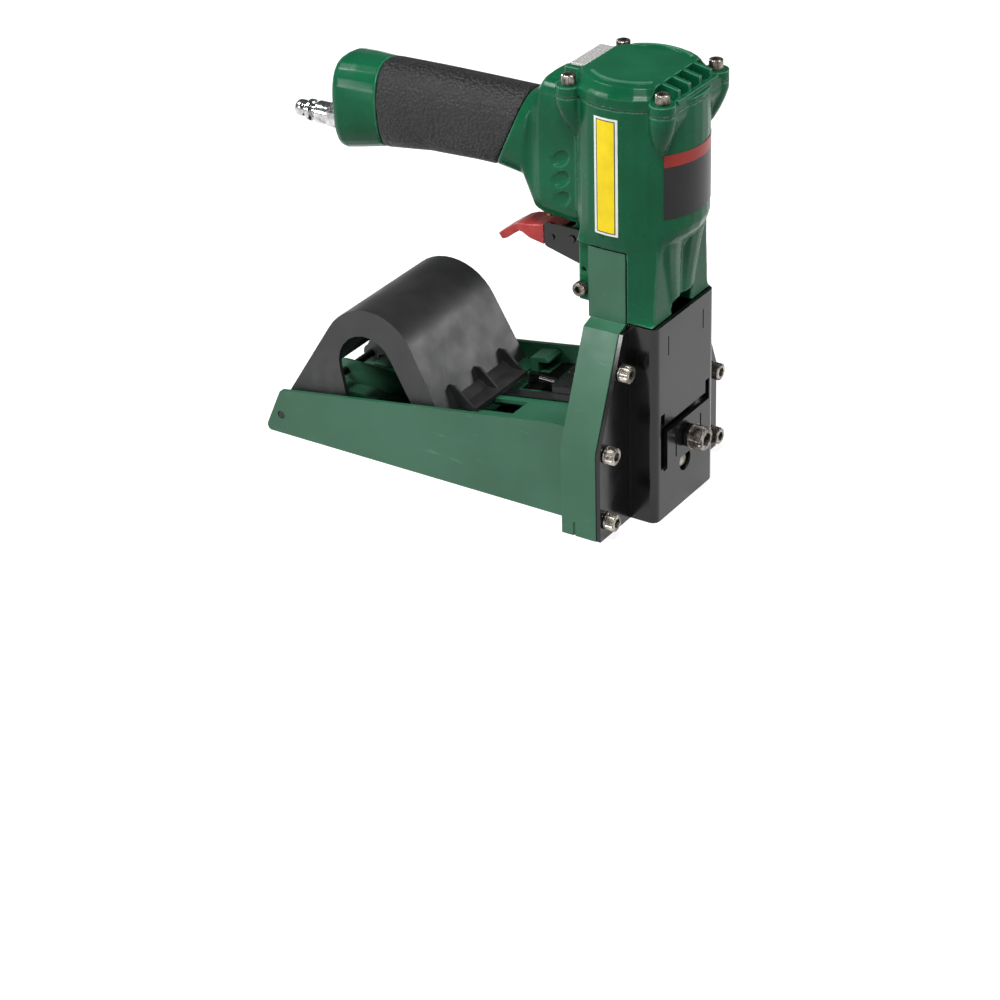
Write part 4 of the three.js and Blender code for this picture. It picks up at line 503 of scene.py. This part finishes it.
def socket_screw(name, head_radius, head_height, shank_length, ribs, depth=rib_depth):
    """A ribbed socket screw that stands on its head's seat at the origin, head upwards."""
    rim = head_radius * rim_share
    key_radius = head_radius * key_share / math.cos(math.pi / 6)
    key_depth = head_height * key_depth_share
    side = head_height - rim
    bpy.ops.object.select_all(action="DESELECT")
    bpy.ops.mesh.primitive_cylinder_add(
        vertices=ribs * 2, radius=head_radius, depth=side, location=(0, 0, side / 2)
    )
    screw = bpy.context.object
    screw.name = name
    bpy.ops.object.transform_apply()
    bpy.ops.object.mode_set(mode="EDIT")
    step = math.pi / ribs
    pick_points(lambda spot: round(math.atan2(spot.x, spot.y) / step) % 2 == 1)
    inwards = 1 - depth
    bpy.ops.transform.resize(value=(inwards, inwards, 1), center_override=(0, 0, 0))
    pick_faces(lambda centre, normal: normal.z > facing)
    bpy.ops.mesh.inset(thickness=rim)
    bpy.ops.transform.translate(value=(0, 0, rim))
    pick_faces(lambda centre, normal: normal.z < -facing)
    bpy.ops.mesh.inset(thickness=head_radius * (1 - shank_share))
    bpy.ops.mesh.extrude_region_move(TRANSFORM_OT_translate={"value": (0, 0, -shank_length)})
    bpy.ops.object.mode_set(mode="OBJECT")
    bpy.ops.mesh.primitive_cylinder_add(
        vertices=6, radius=key_radius, depth=key_depth * 2, location=(0, 0, head_height)
    )
    key = bpy.context.object
    take(screw)
    socket = screw.modifiers.new("socket", "BOOLEAN")
    socket.operation = "DIFFERENCE"
    socket.object = key
    bpy.ops.object.modifier_apply(modifier=socket.name)
    bpy.data.objects.remove(key)
    bpy.ops.object.shade_smooth_by_angle(angle=screw_crease)
    return screw


def middle_of(node):
    """The middle of a CAD solid's box."""
    low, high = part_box(node)
    return (low + high) / 2


head_up = Matrix.Identity(4)
head_front = Matrix.Rotation(math.radians(90), 4, "X")
head_right = Matrix.Rotation(math.radians(90), 4, "Y")
head_left = Matrix.Rotation(math.radians(-90), 4, "Y")
dark_screw_steel = oiled_metal("oiled_dark_steel", steel_dark, steel_light)

cap_low, cap_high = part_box("cap_screw_1")
cap_head_radius = (cap_high.x - cap_low.x) / 2
cap_shank = cap_high.z - cap_low.z - cap_head_height
cap_model = socket_screw(
    "cap_screw_model", cap_head_radius, cap_head_height, cap_shank, cap_rib_count
)
for number in range(1, 5):
    node = f"cap_screw_{number}"
    seat = middle_of(node)
    seat.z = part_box(node)[1].z - cap_head_height
    screw = set_copy(cap_model, f"cap_socket_screw_{number}", seat, head_up)
    hand_over(screw, dark_screw_steel, "tool_body", "bright_steel", node)
bpy.data.objects.remove(cap_model)

side_low, side_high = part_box("side_screw_left")
side_radius = (side_high.z - side_low.z) / 2
side_shank = side_high.x - side_low.x - side_head_height
side_model = socket_screw(
    "side_screw_model", side_radius, side_head_height, side_shank, side_rib_count
)
for hand, turn, way in (("right", head_right, 1), ("left", head_left, -1)):
    node = f"side_screw_{hand}"
    seat = middle_of(node)
    seat.x += way * ((side_high.x - side_low.x) / 2 - side_head_height)
    screw = set_copy(side_model, f"strap_socket_screw_{hand}", seat, turn)
    hand_over(screw, dark_screw_steel, "tool_body", "bright_steel", node)
bpy.data.objects.remove(side_model)


# The frame of the nose and the magazine tray with its roll guide: pressed steel sheet, welded and
# powder coated in a greyer, satin green, with a few pale scuffs.
sheet_deep = (31, 83, 57)
sheet_pale = (41, 95, 69)
sheet_scuff = (92, 132, 112)
sheet_patch = 0.05
scuff_size = 0.006
scuff_stretch = (3, 3, 0.6)
scuff_span = (0.68, 0.76)
scuff_share = 0.4
sheet_haze = 0.01
sheet_gloss = (0.36, 0.48)
sheet_grain = 0.0012
sheet_grain_depth = 0.00002
frame_edge = 0.0006
tray_edge = 0.0005
roll_guide_edge = 0.0004


def powder_green():
    """Satin green powder coat with its fine orange peel and a few pale scuffs."""
    material, tree, shader, place = new_finish("powder_green")
    colour = clouded(tree, place, sheet_patch, sheet_deep, sheet_pale)
    rubs = cloud(tree, place, scuff_size, detail=6, stretch=scuff_stretch)
    scuffs = between(tree, rubs, *scuff_span, 0, scuff_share)
    tree.links.new(mixed(tree, scuffs, colour, sheet_scuff), shader.inputs["Base Color"])
    hazed(tree, shader, place, sheet_haze, sheet_gloss)
    relief(tree, shader, cloud(tree, place, sheet_grain), sheet_grain_depth)
    return material


sheet_green = powder_green()
dress("main_frame", sheet_green, frame_edge)
dress("magazine_tray", sheet_green, tray_edge)
dress("roll_guide", sheet_green, roll_guide_edge)


# The front plate and the lock nut: black oxide steel, the plate folded to a channel with two
# flanges, with the window and the sprung tongue that carries the depth adjuster. Satin, with
# faint rolling streaks.
oxide_deep = (11, 11, 12)
oxide_pale = (18, 18, 18)
oxide_gloss = (0.14, 0.24)
oxide_worn = (92, 90, 87)
oxide_mirror = 0.42
streak_size = 0.002
streak_stretch = (1, 1, 12)
rub_size = 0.004
rub_stretch = (1, 1, 3)
rub_span = (0.7, 0.78)
rub_share = 0.15
oxide_haze = 0.012
oxide_grain = 0.0008
oxide_grain_depth = 0.000012
front_plate_edge = 0.0005
lock_nut_edge = 0.0003


def dark_skin(name, deep, pale, gloss):
    """A dark surface: rolling streaks along Z, cloudy gloss and a few bright rubs."""
    material, tree, shader, place = new_finish(name)
    lines = cloud(tree, place, streak_size, detail=4, stretch=streak_stretch)
    streaks = between(tree, lines, *wide_span, 0, 1)
    colour = mixed(tree, streaks, deep, pale)
    spots = cloud(tree, place, rub_size, detail=8, stretch=rub_stretch)
    rubs = between(tree, spots, *rub_span, 0, rub_share)
    tree.links.new(mixed(tree, rubs, colour, oxide_worn), shader.inputs["Base Color"])
    hazed(tree, shader, place, oxide_haze, gloss)
    shader.inputs["Specular IOR Level"].default_value = oxide_mirror
    relief(tree, shader, cloud(tree, place, oxide_grain), oxide_grain_depth)
    return material


plate_black = dark_skin("black_oxide", oxide_deep, oxide_pale, oxide_gloss)
dress("front_plate", plate_black, front_plate_edge)
dress("lock_nut", plate_black, lock_nut_edge)


# The flange screws: six socket screws with split spring washers, which hold the front plate and
# the columns together. Bright zinc plated steel, slightly yellow.
flange_head_height = 0.0046
flange_rib_count = 32
zinc_dark = (98, 93, 85)
zinc_light = (184, 178, 168)
split_degrees = 12
washer_bore_share = 0.64
washer_edge_share = 1 / 6
screw_turn_degrees = 17

plated_steel = oiled_metal("plated_screw_steel", zinc_dark, zinc_light)
flange_low, flange_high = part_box("flange_screw_1")
flange_radius = (flange_high.x - flange_low.x) / 2
flange_shank = flange_high.y - flange_low.y - flange_head_height
flange_model = socket_screw(
    "flange_screw_model", flange_radius, flange_head_height, flange_shank, flange_rib_count
)

washer_low, washer_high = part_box("spring_washer_1")
washer_radius = (washer_high.x - washer_low.x) / 2
washer_wall = washer_high.y - washer_low.y
washer_model = spun_bar(
    "washer_model",
    washer_radius,
    washer_radius * washer_bore_share,
    washer_wall,
    360 - split_degrees,
    washer_wall * washer_edge_share,
)
for number in range(1, 7):
    node = f"flange_screw_{number}"
    seat = middle_of(node)
    seat.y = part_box(node)[0].y + flange_head_height
    spun = head_front @ Matrix.Rotation(math.radians(screw_turn_degrees * number), 4, "Z")
    screw = set_copy(flange_model, f"flange_socket_screw_{number}", seat, spun)
    hand_over(screw, plated_steel, "tool_body", "bright_steel", node)
    node = f"spring_washer_{number}"
    washer = set_copy(washer_model, f"split_washer_{number}", middle_of(node), spun)
    hand_over(washer, plated_steel, "tool_body", "bright_steel", node)
bpy.data.objects.remove(flange_model)
bpy.data.objects.remove(washer_model)


# The depth adjuster: a coarse knurled socket screw through the tongue, with two bright rings
# behind its head that turn with it. Turning it sets how deep the staple points clinch.
adjuster_head_height = 0.0071
adjuster_rib_count = 34
adjuster_rib_depth = 0.08
knurl_dark = (70, 65, 59)
knurl_light = (176, 169, 160)
ring_sides = 48
ring_radius = 0.0069
ring_wall = 0.00052
ring_gap = 0.00006
ring_edge = 0.0001

adjuster_low, adjuster_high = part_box("adjuster_screw")
adjuster_radius = (adjuster_high.x - adjuster_low.x) / 2
adjuster_shank = adjuster_high.y - adjuster_low.y - adjuster_head_height
adjuster_model = socket_screw(
    "adjuster_model",
    adjuster_radius,
    adjuster_head_height,
    adjuster_shank,
    adjuster_rib_count,
    adjuster_rib_depth,
)
adjuster_seat = middle_of("adjuster_screw")
adjuster_seat.y = adjuster_low.y + adjuster_head_height
adjuster = set_copy(adjuster_model, "knurled_adjuster", adjuster_seat, head_front)
bpy.data.objects.remove(adjuster_model)
knurled_steel = oiled_metal("knurled_steel", knurl_dark, knurl_light)
hand_over(adjuster, knurled_steel, "adjuster_screw", "bright_steel", "adjuster_screw")


def turned(name, sides, steps):
    """A turned piece on the origin that grows upwards: each step is a height and a radius."""
    (low, radius), (height, radius) = steps[:2]
    bpy.ops.object.select_all(action="DESELECT")
    bpy.ops.mesh.primitive_cylinder_add(
        vertices=sides, radius=radius, depth=height - low, location=(0, 0, (low + height) / 2)
    )
    piece = bpy.context.object
    piece.name = name
    bpy.ops.object.transform_apply()
    bpy.ops.object.mode_set(mode="EDIT")
    pick_faces(lambda centre, normal: normal.z > facing)
    for next_height, next_radius in steps[2:]:
        bpy.ops.mesh.extrude_region_move(
            TRANSFORM_OT_translate={"value": (0, 0, next_height - height)}
        )
        share = next_radius / radius
        middle = (0, 0, next_height)
        bpy.ops.transform.resize(value=(share, share, 1), center_override=middle)
        height = next_height
        radius = next_radius
    bpy.ops.object.mode_set(mode="OBJECT")
    bpy.ops.object.shade_smooth_by_angle(angle=sharp_from)
    return piece


bright_ring = turned("adjuster_ring_model", ring_sides, (
    (0, ring_radius - ring_edge),
    (ring_edge, ring_radius - ring_edge),
    (ring_edge * 2, ring_radius),
    (ring_wall - ring_edge, ring_radius),
    (ring_wall, ring_radius - ring_edge),
))
ring_seat = adjuster_seat.copy()
for name in ("adjuster_ring_front", "adjuster_ring_rear"):
    ring_seat.y += ring_wall + ring_gap
    ring = set_copy(bright_ring, name, ring_seat, head_front)
    hand_over(ring, plated_steel, "adjuster_screw", "bright_steel")
bpy.data.objects.remove(bright_ring)


# The handle's grip: a thick black rubber sleeve pulled over the casting, with a leather grain and
# a soft sheen that is a little uneven.
grip_voxel = 0.001
grip_rounds = 8
rubber_deep = (25, 25, 26)
rubber_pale = (40, 40, 41)
rubber_mirror = 0.35
rubber_grain = 0.0017
rubber_grain_depth = 0.0004
crease_span = (0.2, 0.75)
rubber_haze = 0.02
rubber_gloss = (0.5, 0.62)
rubber_swell = 0.0035
rubber_swell_depth = 0.0002


def leather_rubber():
    """Black rubber with a pebbled leather grain, with painted shade in the creases."""
    material, tree, shader, place = new_finish("leather_rubber")
    pebbles = tree.nodes.new("ShaderNodeTexVoronoi")
    pebbles.inputs["Scale"].default_value = 1 / rubber_grain
    tree.links.new(place, pebbles.inputs["Vector"])
    # Painted shade: the creases between the pebbles are darker than the pebble crowns.
    crown = between(tree, pebbles.outputs["Distance"], *crease_span, 1, 0)
    colour = mixed(tree, crown, rubber_deep, rubber_pale)
    tree.links.new(colour, shader.inputs["Base Color"])
    hazed(tree, shader, place, rubber_haze, rubber_gloss)
    shader.inputs["Specular IOR Level"].default_value = rubber_mirror
    relief(tree, shader, cloud(tree, place, rubber_swell), rubber_swell_depth)
    relief(tree, shader, crown, rubber_grain_depth)
    return material


grip = eased(merged_copy("grip_sleeve", "rubber_grip"), grip_voxel, grip_rounds)
hand_over(grip, leather_rubber(), "tool_body", "black_rubber", "grip_sleeve")


# The end cap of the handle and the air plug: a green casting that closes the handle's air way,
# and the turned plug that the air hose's coupling snaps on. The plug has two grooves and a round
# tip on a hexagon, all bright nickel, and is screwed in the cap.
end_cap_voxel = 0.0008
end_cap_rounds = 6
hexagon_low = 0.1959
hexagon_high = 0.2014
hexagon_radius = 0.0079
nipple_sides = 48
thread_low = 0.182
nipple_steps = (
    (thread_low, 0.0058),
    (0.2, 0.0058),
    (0.2016, 0.0061),
    (0.2021, 0.0062),
    (0.2102, 0.0062),
    (0.2108, 0.0057),
    (0.2113, 0.0039),
    (0.2136, 0.0039),
    (0.2142, 0.0056),
    (0.2147, 0.006),
    (0.2163, 0.006),
    (0.2169, 0.0055),
    (0.2174, 0.0036),
    (0.2188, 0.0036),
    (0.2194, 0.0042),
    (0.2202, 0.0046),
    (0.2229, 0.0046),
    (0.224, 0.0042),
    (0.2247, 0.0034),
    (0.225, 0.0026),
    (0.2249, 0.0022),
    (0.216, 0.0021),
)
nickel_dark = (150, 150, 151)
nickel_light = (205, 205, 206)
nickel_metal = 1.0
nickel_patch = 0.004
nickel_haze = 0.0015
nickel_gloss = (0.1, 0.24)
nickel_dent = 0.003
nickel_dent_depth = 0.00003

end_cap = eased(
    merged_copy("handle_end_cap", "end_cap_casting"), end_cap_voxel, end_cap_rounds
)
hand_over(end_cap, cast_enamel, "tool_body", "green_paint", "handle_end_cap")


def bright_nickel():
    """Bright nickel plate: clear mirror gloss with a faint haze and a few soft dents."""
    material, tree, shader, place = new_finish("bright_nickel", nickel_metal)
    colour = clouded(tree, place, nickel_patch, nickel_dark, nickel_light)
    tree.links.new(colour, shader.inputs["Base Color"])
    hazed(tree, shader, place, nickel_haze, nickel_gloss)
    relief(tree, shader, cloud(tree, place, nickel_dent), nickel_dent_depth)
    return material


plug_axis = middle_of("air_plug").z
bpy.ops.object.select_all(action="DESELECT")
bpy.ops.mesh.primitive_cylinder_add(
    vertices=6,
    radius=hexagon_radius,
    depth=hexagon_high - hexagon_low,
    location=(0, 0, (hexagon_low + hexagon_high) / 2),
)
hexagon = bpy.context.object
hexagon.name = "plug_hexagon"
bpy.ops.object.transform_apply()
nipple = turned("air_plug_nipple", nipple_sides, nipple_steps)
whole_plug = nipple.modifiers.new("whole_plug", "BOOLEAN")
whole_plug.operation = "UNION"
whole_plug.object = hexagon
take(nipple)
bpy.ops.object.modifier_apply(modifier=whole_plug.name)
bpy.data.objects.remove(hexagon)
head_rear = Matrix.Rotation(math.radians(-90), 4, "X")
plug = set_copy(nipple, "turned_air_plug", (0, 0, plug_axis), head_rear)
bpy.data.objects.remove(nipple)
bpy.ops.object.shade_smooth_by_angle(angle=sharp_from)
hand_over(plug, bright_nickel(), "tool_body", "bright_steel", "air_plug")


# The trigger: a red moulded finger lever riveted in a black pressed arm that swings on a cross
# pin. The lever sweeps down to a spoon, and its edges are worn pale. The arm pushes the brass
# valve stem behind it.
red_deep = (150, 26, 25)
red_pale = (174, 44, 40)
red_worn = (226, 160, 150)
red_patch = 0.008
red_bend = (0.52, 0.58)
red_spot = 0.003
red_spot_span = (0.42, 0.62)
red_haze = 0.004
red_gloss = (0.34, 0.52)
red_grain = 0.0009
red_grain_depth = 0.00005
brass_dark = (128, 96, 44)
brass_light = (186, 150, 84)
arm_edge = 0.0003
pin_edge = 0.0002
lever_voxel = 0.0004
lever_rounds = 5
lever_slice = 0.0008
lever_root = (0.0532, 0.1421, 0.0092, 0.0079, 0)
lever_stations = (
    (0.0617, 0.1421, 0.0092, 0.0079, 0),
    (0.0619, 0.1412, 0.0112, 0.0094, 0),
    (0.0700, 0.1411, 0.0080, 0.0094, -8),
    (0.0758, 0.1418, 0.0048, 0.0090, 4),
    (0.0790, 0.1411, 0.0043, 0.0078, 22),
    (0.0832, 0.1383, 0.0045, 0.0064, 38),
    (0.0886, 0.1342, 0.0047, 0.0060, 38),
    (0.0914, 0.1324, 0.0040, 0.0054, 38),
    (0.0923, 0.1319, 0.0030, 0.0046, 38),
)


def both(tree, first, second):
    """The product of two numbers, which is high only where both are."""
    product = tree.nodes.new("ShaderNodeMath")
    product.operation = "MULTIPLY"
    tree.links.new(first, product.inputs[0])
    tree.links.new(second, product.inputs[1])
    return product.outputs[0]


def worn_red():
    """Red nylon, rubbed pale in spots on its crests, with a soft grain."""
    material, tree, shader, place = new_finish("worn_red_nylon")
    colour = clouded(tree, place, red_patch, red_deep, red_pale)
    bend = tree.nodes.new("ShaderNodeNewGeometry").outputs["Pointiness"]
    crest = between(tree, bend, *red_bend, 0, 1)
    spots = between(tree, cloud(tree, place, red_spot, detail=5), *red_spot_span, 0, 1)
    rubbed = mixed(tree, both(tree, crest, spots), colour, red_worn)
    tree.links.new(rubbed, shader.inputs["Base Color"])
    hazed(tree, shader, place, red_haze, red_gloss)
    relief(tree, shader, cloud(tree, place, red_grain), red_grain_depth)
    return material


def lever_blank():
    """The lever's block, drawn out from its root station by station down to the spoon.

    A station is its place along Y and Z, its thickness, its half width and its lean in degrees.
    """
    y, z, thick, half, lean = lever_root
    bpy.ops.object.select_all(action="DESELECT")
    bpy.ops.mesh.primitive_cube_add(
        size=1, location=(0, y, z), scale=(half * 2, lever_slice, thick)
    )
    blank = bpy.context.object
    blank.name = "red_finger_lever"
    bpy.ops.object.transform_apply()
    bpy.ops.object.mode_set(mode="EDIT")
    pick_faces(lambda centre, normal: normal.y > facing)
    for next_y, next_z, next_thick, next_half, next_lean in lever_stations:
        step = (0, next_y - y, next_z - z)
        bpy.ops.mesh.extrude_region_move(TRANSFORM_OT_translate={"value": step})
        middle = (0, next_y, next_z)
        taller = next_thick / thick
        wider = (next_half / half, taller, taller)
        bpy.ops.transform.resize(value=wider, center_override=middle)
        tilt = math.radians(next_lean - lean)
        bpy.ops.transform.rotate(value=tilt, orient_axis="X", center_override=middle)
        y, z, thick, half, lean = next_y, next_z, next_thick, next_half, next_lean
    bpy.ops.object.mode_set(mode="OBJECT")
    return blank


lever = eased(lever_blank(), lever_voxel, lever_rounds)
hand_over(lever, worn_red(), "trigger", "red_plastic", "finger_lever")
dress("trigger_arm", plate_black, arm_edge)
dress("lever_rivet", plate_black, pin_edge)
dress("trigger_pin", plate_black, pin_edge)
brass = oiled_metal("worn_brass", brass_dark, brass_light)
dress("valve_stem", brass, pin_edge)
dress("valve_body", brass, pin_edge)


# The roll cover and its catch: a black nylon hood with three ribs over its front lip, which swings
# back on a pin through the rear of the tray so that a roll of staples can be dropped in. The
# sprung catch in front of it is green sheet.
nylon_deep = (27, 27, 28)
nylon_pale = (39, 39, 40)
# Painted reflection: paler grey blotches low on the hood.
nylon_painted_reflection = (84, 84, 86)
nylon_patch = 0.02
reflection_heights = (0.036, 0.066)
reflection_size = 0.009
reflection_stretch = (2, 1, 1)
reflection_span = (0.42, 0.68)
reflection_share = 0.15
nylon_haze = 0.015
nylon_gloss = (0.4, 0.52)
nylon_grain = 0.0006
nylon_grain_depth = 0.00003
hood_edge = 0.0006
hinge_pin_edge = 0.0003
catch_edge = 0.0005
catch_pin_edge = 0.0002


def black_nylon():
    """Black glass filled nylon: fine spark grain, with a painted reflection in paler grey low on
    the hood.
    """
    material, tree, shader, place = new_finish("black_nylon")
    colour = clouded(tree, place, nylon_patch, nylon_deep, nylon_pale)
    height = tree.nodes.new("ShaderNodeSeparateXYZ")
    tree.links.new(place, height.inputs["Vector"])
    # Painted reflection: the lower hood is mixed towards a paler grey in blotches.
    low = between(tree, height.outputs["Z"], *reflection_heights, 1, 0)
    reflection_clouds = cloud(tree, place, reflection_size, detail=6, stretch=reflection_stretch)
    reflection_mask = between(tree, reflection_clouds, *reflection_span, 0, reflection_share)
    reflected = mixed(tree, both(tree, low, reflection_mask), colour, nylon_painted_reflection)
    tree.links.new(reflected, shader.inputs["Base Color"])
    hazed(tree, shader, place, nylon_haze, nylon_gloss)
    relief(tree, shader, cloud(tree, place, nylon_grain), nylon_grain_depth)
    return material


hood_nylon = black_nylon()
dress("roll_cover", hood_nylon, hood_edge, whole=False)
dress("cover_hinge_pin", plate_black, hinge_pin_edge)
dress("cover_catch", sheet_green, catch_edge)
dress("catch_pin", dark_screw_steel, catch_pin_edge)


# The feed channel's shade strips: thin black sheet, folded over the edges of the channel in the
# deck and down its walls, on both sides of the slot in which the feed slide runs. They are
# painted shade, which darkens the channel where it lies in shade under the hood.
deck_front = 0.0364
deck_front_height = 0.04354
deck_fall = 0.1541
strip_sheet = 0.0003
strip_floor = 0.00012
channel_floor = -0.00597
same_height = 0.00002


def shade_strip(name, way, rim, wall, slot, lift, rear):
    """A strip from its rim over the deck to the channel's wall, down it and in to the slot."""
    bpy.ops.object.select_all(action="DESELECT")
    bpy.ops.mesh.primitive_cube_add(
        size=1,
        location=((rim + wall) / 2, (deck_front + rear) / 2, lift + strip_sheet / 2),
        scale=(abs(wall - rim), rear - deck_front, strip_sheet),
    )
    strip = bpy.context.object
    strip.name = name
    bpy.ops.object.transform_apply()
    bpy.ops.object.mode_set(mode="EDIT")
    pick_faces(lambda centre, normal: normal.x * way > facing)
    fold = {"value": (way * strip_sheet, 0, 0)}
    bpy.ops.mesh.extrude_region_move(TRANSFORM_OT_translate=fold)
    pick_faces(lambda centre, normal: normal.z < -facing and (centre.x - wall) * way > 0)
    wall_down = {"value": (0, 0, channel_floor + strip_floor - lift)}
    bpy.ops.mesh.extrude_region_move(TRANSFORM_OT_translate=wall_down)
    bpy.ops.mesh.extrude_region_move(TRANSFORM_OT_translate={"value": (0, 0, -strip_floor)})
    foot = channel_floor + strip_floor / 2
    pick_faces(
        lambda centre, normal: normal.x * way > facing and abs(centre.z - foot) < same_height
    )
    inwards = {"value": (slot - wall - way * strip_sheet, 0, 0)}
    bpy.ops.mesh.extrude_region_move(TRANSFORM_OT_translate=inwards)
    pick_points(lambda spot: True)
    bpy.ops.transform.translate(value=(0, 0, deck_front_height))
    pick_points(lambda spot: spot.y > (deck_front + rear) / 2)
    bpy.ops.transform.translate(value=(0, 0, -deck_fall * (rear - deck_front)))
    bpy.ops.object.mode_set(mode="OBJECT")
    return strip


for name, way, rim, wall, slot, lift, rear in (
    ("near_shade_strip", 1, -0.0028, 0.00425, 0.0114, 0.00098, 0.0967),
    ("far_shade_strip", -1, 0.0444, 0.02695, 0.0198, 0.00006, 0.0854),
    ("catch_shade_strip", -1, 0.0302, 0.02695, 0.0198, 0.00006, 0.0972),
):
    # Each strip is painted shade: black sheet laid where the channel lies in shade.
    strip = shade_strip(name, way, rim, wall, slot, lift, rear)
    hand_over(strip, plate_black, "tool_body", "black_paint")


# The staple way: the track, the feed slide, the driver's guides and blade and the two clinching
# anvils. Hardened tool steel, ground and oiled, its grey darkened further as painted shade of the
# tray, and a black slide. The bright dome of a screw in the front guide shows through the front
# plate's access hole.
# Painted shade: the ground steel's greys are darkened for the shade in the tray.
shaded_ground_dark = (56, 56, 58)
shaded_ground_light = (96, 95, 94)
steel_edge = 0.0002
slide_edge = 0.0003
guide_screw_sides = 40
guide_screw_radius = 0.00468
guide_screw_place = (0, -0.0138, 0.0246)

ground_steel = oiled_metal("ground_tool_steel", shaded_ground_dark, shaded_ground_light)
for node in (
    "staple_track",
    "driver_guide_front",
    "driver_guide_rear",
    "driver_blade",
    "anvil_pin_right",
    "anvil_pin_left",
):
    dress(node, ground_steel, steel_edge)
dress("anvil_right", ground_steel, steel_edge, whole=False)
dress("anvil_left", ground_steel, steel_edge, whole=False)
dress("feed_slide", plate_black, slide_edge)

dome_model = turned("guide_screw_model", guide_screw_sides, (
    (-0.0002, guide_screw_radius),
    (0.0014, guide_screw_radius),
    (0.0021, guide_screw_radius * 0.95),
    (0.0027, guide_screw_radius * 0.82),
    (0.0031, guide_screw_radius * 0.6),
    (0.00325, guide_screw_radius * 0.3),
    (0.0033, guide_screw_radius * 0.1),
))
dome = set_copy(dome_model, "guide_screw_dome", guide_screw_place, head_front)
bpy.data.objects.remove(dome_model)
hand_over(dome, plated_steel, "tool_body", "bright_steel")


# The air motor inside the barrel: alloy liner and piston, rubber ring and bumper, and the nylon
# head valve over the liner. Nothing of it shows until the cap is off.
turned_dark = (150, 150, 150)
turned_light = (200, 200, 200)
seal_deep = (26, 26, 26)
seal_pale = (36, 36, 36)
seal_gloss = (0.6, 0.7)
motor_edge = 0.0002

bare_alloy = oiled_metal("turned_alloy", turned_dark, turned_light)
soft_rubber = dark_skin("soft_rubber", seal_deep, seal_pale, seal_gloss)
for node, finish in (
    ("cylinder_liner", bare_alloy),
    ("main_piston", bare_alloy),
    ("piston_ring", soft_rubber),
    ("piston_bumper", soft_rubber),
    ("head_valve", hood_nylon),
):
    dress(node, finish, motor_edge)


# The two stickers on the barrel: a yellow strip with a white border on the left, and a black
# panel under a red band on the front. Both are bare vinyl, wrapped round the barrel.
barrel_radius = 0.0345
vinyl_lift = 0.00012
vinyl_layer = 0.00005
vinyl_wall = 0.00004
vinyl_columns = 28
vinyl_patch = 0.012
vinyl_haze = 0.34
vinyl_mirror = 0.3
vinyl_wave = 0.004
vinyl_wave_depth = 0.00002
print_white = (226, 230, 226)
faded_white = (212, 218, 214)
print_yellow = (240, 212, 20)
faded_yellow = (228, 198, 16)
print_black = (10, 10, 11)
faded_black = (17, 17, 18)
print_red = (160, 42, 30)
faded_red = (146, 36, 27)


def wrapped_vinyl(name, layer, first_degrees, last_degrees, low, high):
    """A strip of vinyl on the barrel between two angles and two heights, over so many layers."""
    bpy.ops.object.select_all(action="DESELECT")
    first = math.radians(first_degrees)
    reach = barrel_radius + vinyl_lift + layer * vinyl_layer
    start = (reach * math.cos(first), barrel_y + reach * math.sin(first), low)
    bpy.ops.mesh.primitive_plane_add(size=1, location=start)
    strip = bpy.context.object
    strip.name = name
    bpy.ops.object.transform_apply()
    bpy.ops.object.mode_set(mode="EDIT")
    pick_points(lambda spot: True)
    bpy.ops.mesh.merge(type="CENTER")
    bpy.ops.mesh.extrude_region_move(TRANSFORM_OT_translate={"value": (0, 0, high - low)})
    bpy.ops.mesh.select_all(action="SELECT")
    bpy.ops.mesh.spin(
        steps=vinyl_columns,
        angle=math.radians(first_degrees - last_degrees),
        center=(0, barrel_y, 0),
        axis=(0, 0, 1),
    )
    bpy.ops.mesh.select_all(action="SELECT")
    bpy.ops.mesh.remove_doubles(threshold=merge_distance)
    bpy.ops.mesh.normals_make_consistent(inside=False)
    bpy.ops.object.mode_set(mode="OBJECT")
    wall = strip.modifiers.new("wall", "SOLIDIFY")
    wall.thickness = vinyl_wall
    bpy.ops.object.modifier_apply(modifier=wall.name)
    bpy.ops.object.shade_smooth_by_angle(angle=sharp_from)
    return strip


def vinyl(name, shade, fade):
    """Printed vinyl: an even colour with slight fading and a smooth semi gloss."""
    material, tree, shader, place = new_finish(name)
    colour = clouded(tree, place, vinyl_patch, shade, fade)
    tree.links.new(colour, shader.inputs["Base Color"])
    shader.inputs["Roughness"].default_value = vinyl_haze
    shader.inputs["Specular IOR Level"].default_value = vinyl_mirror
    relief(tree, shader, cloud(tree, place, vinyl_wave), vinyl_wave_depth)
    return material


white_vinyl = vinyl("white_vinyl", print_white, faded_white)
yellow_vinyl = vinyl("yellow_vinyl", print_yellow, faded_yellow)
black_vinyl = vinyl("black_vinyl", print_black, faded_black)
red_vinyl = vinyl("red_vinyl", print_red, faded_red)
for name, layer, first, last, low, high, finish in (
    ("left_strip_border", 0, 166.0, 189.3, 0.163, 0.2265, white_vinyl),
    ("left_strip_line", 1, 168.4, 186.9, 0.1642, 0.2253, black_vinyl),
    ("left_strip_field", 2, 169.3, 186.0, 0.1647, 0.2248, yellow_vinyl),
    ("front_panel_black", 0, 228.2, 311.8, 0.1728, 0.2011, black_vinyl),
    ("front_panel_red", 0, 228.2, 311.8, 0.2011, 0.2076, red_vinyl),
):
    sticker = wrapped_vinyl(name, layer, first, last, low, high)
    hand_over(sticker, finish, "tool_body", "black_plastic")
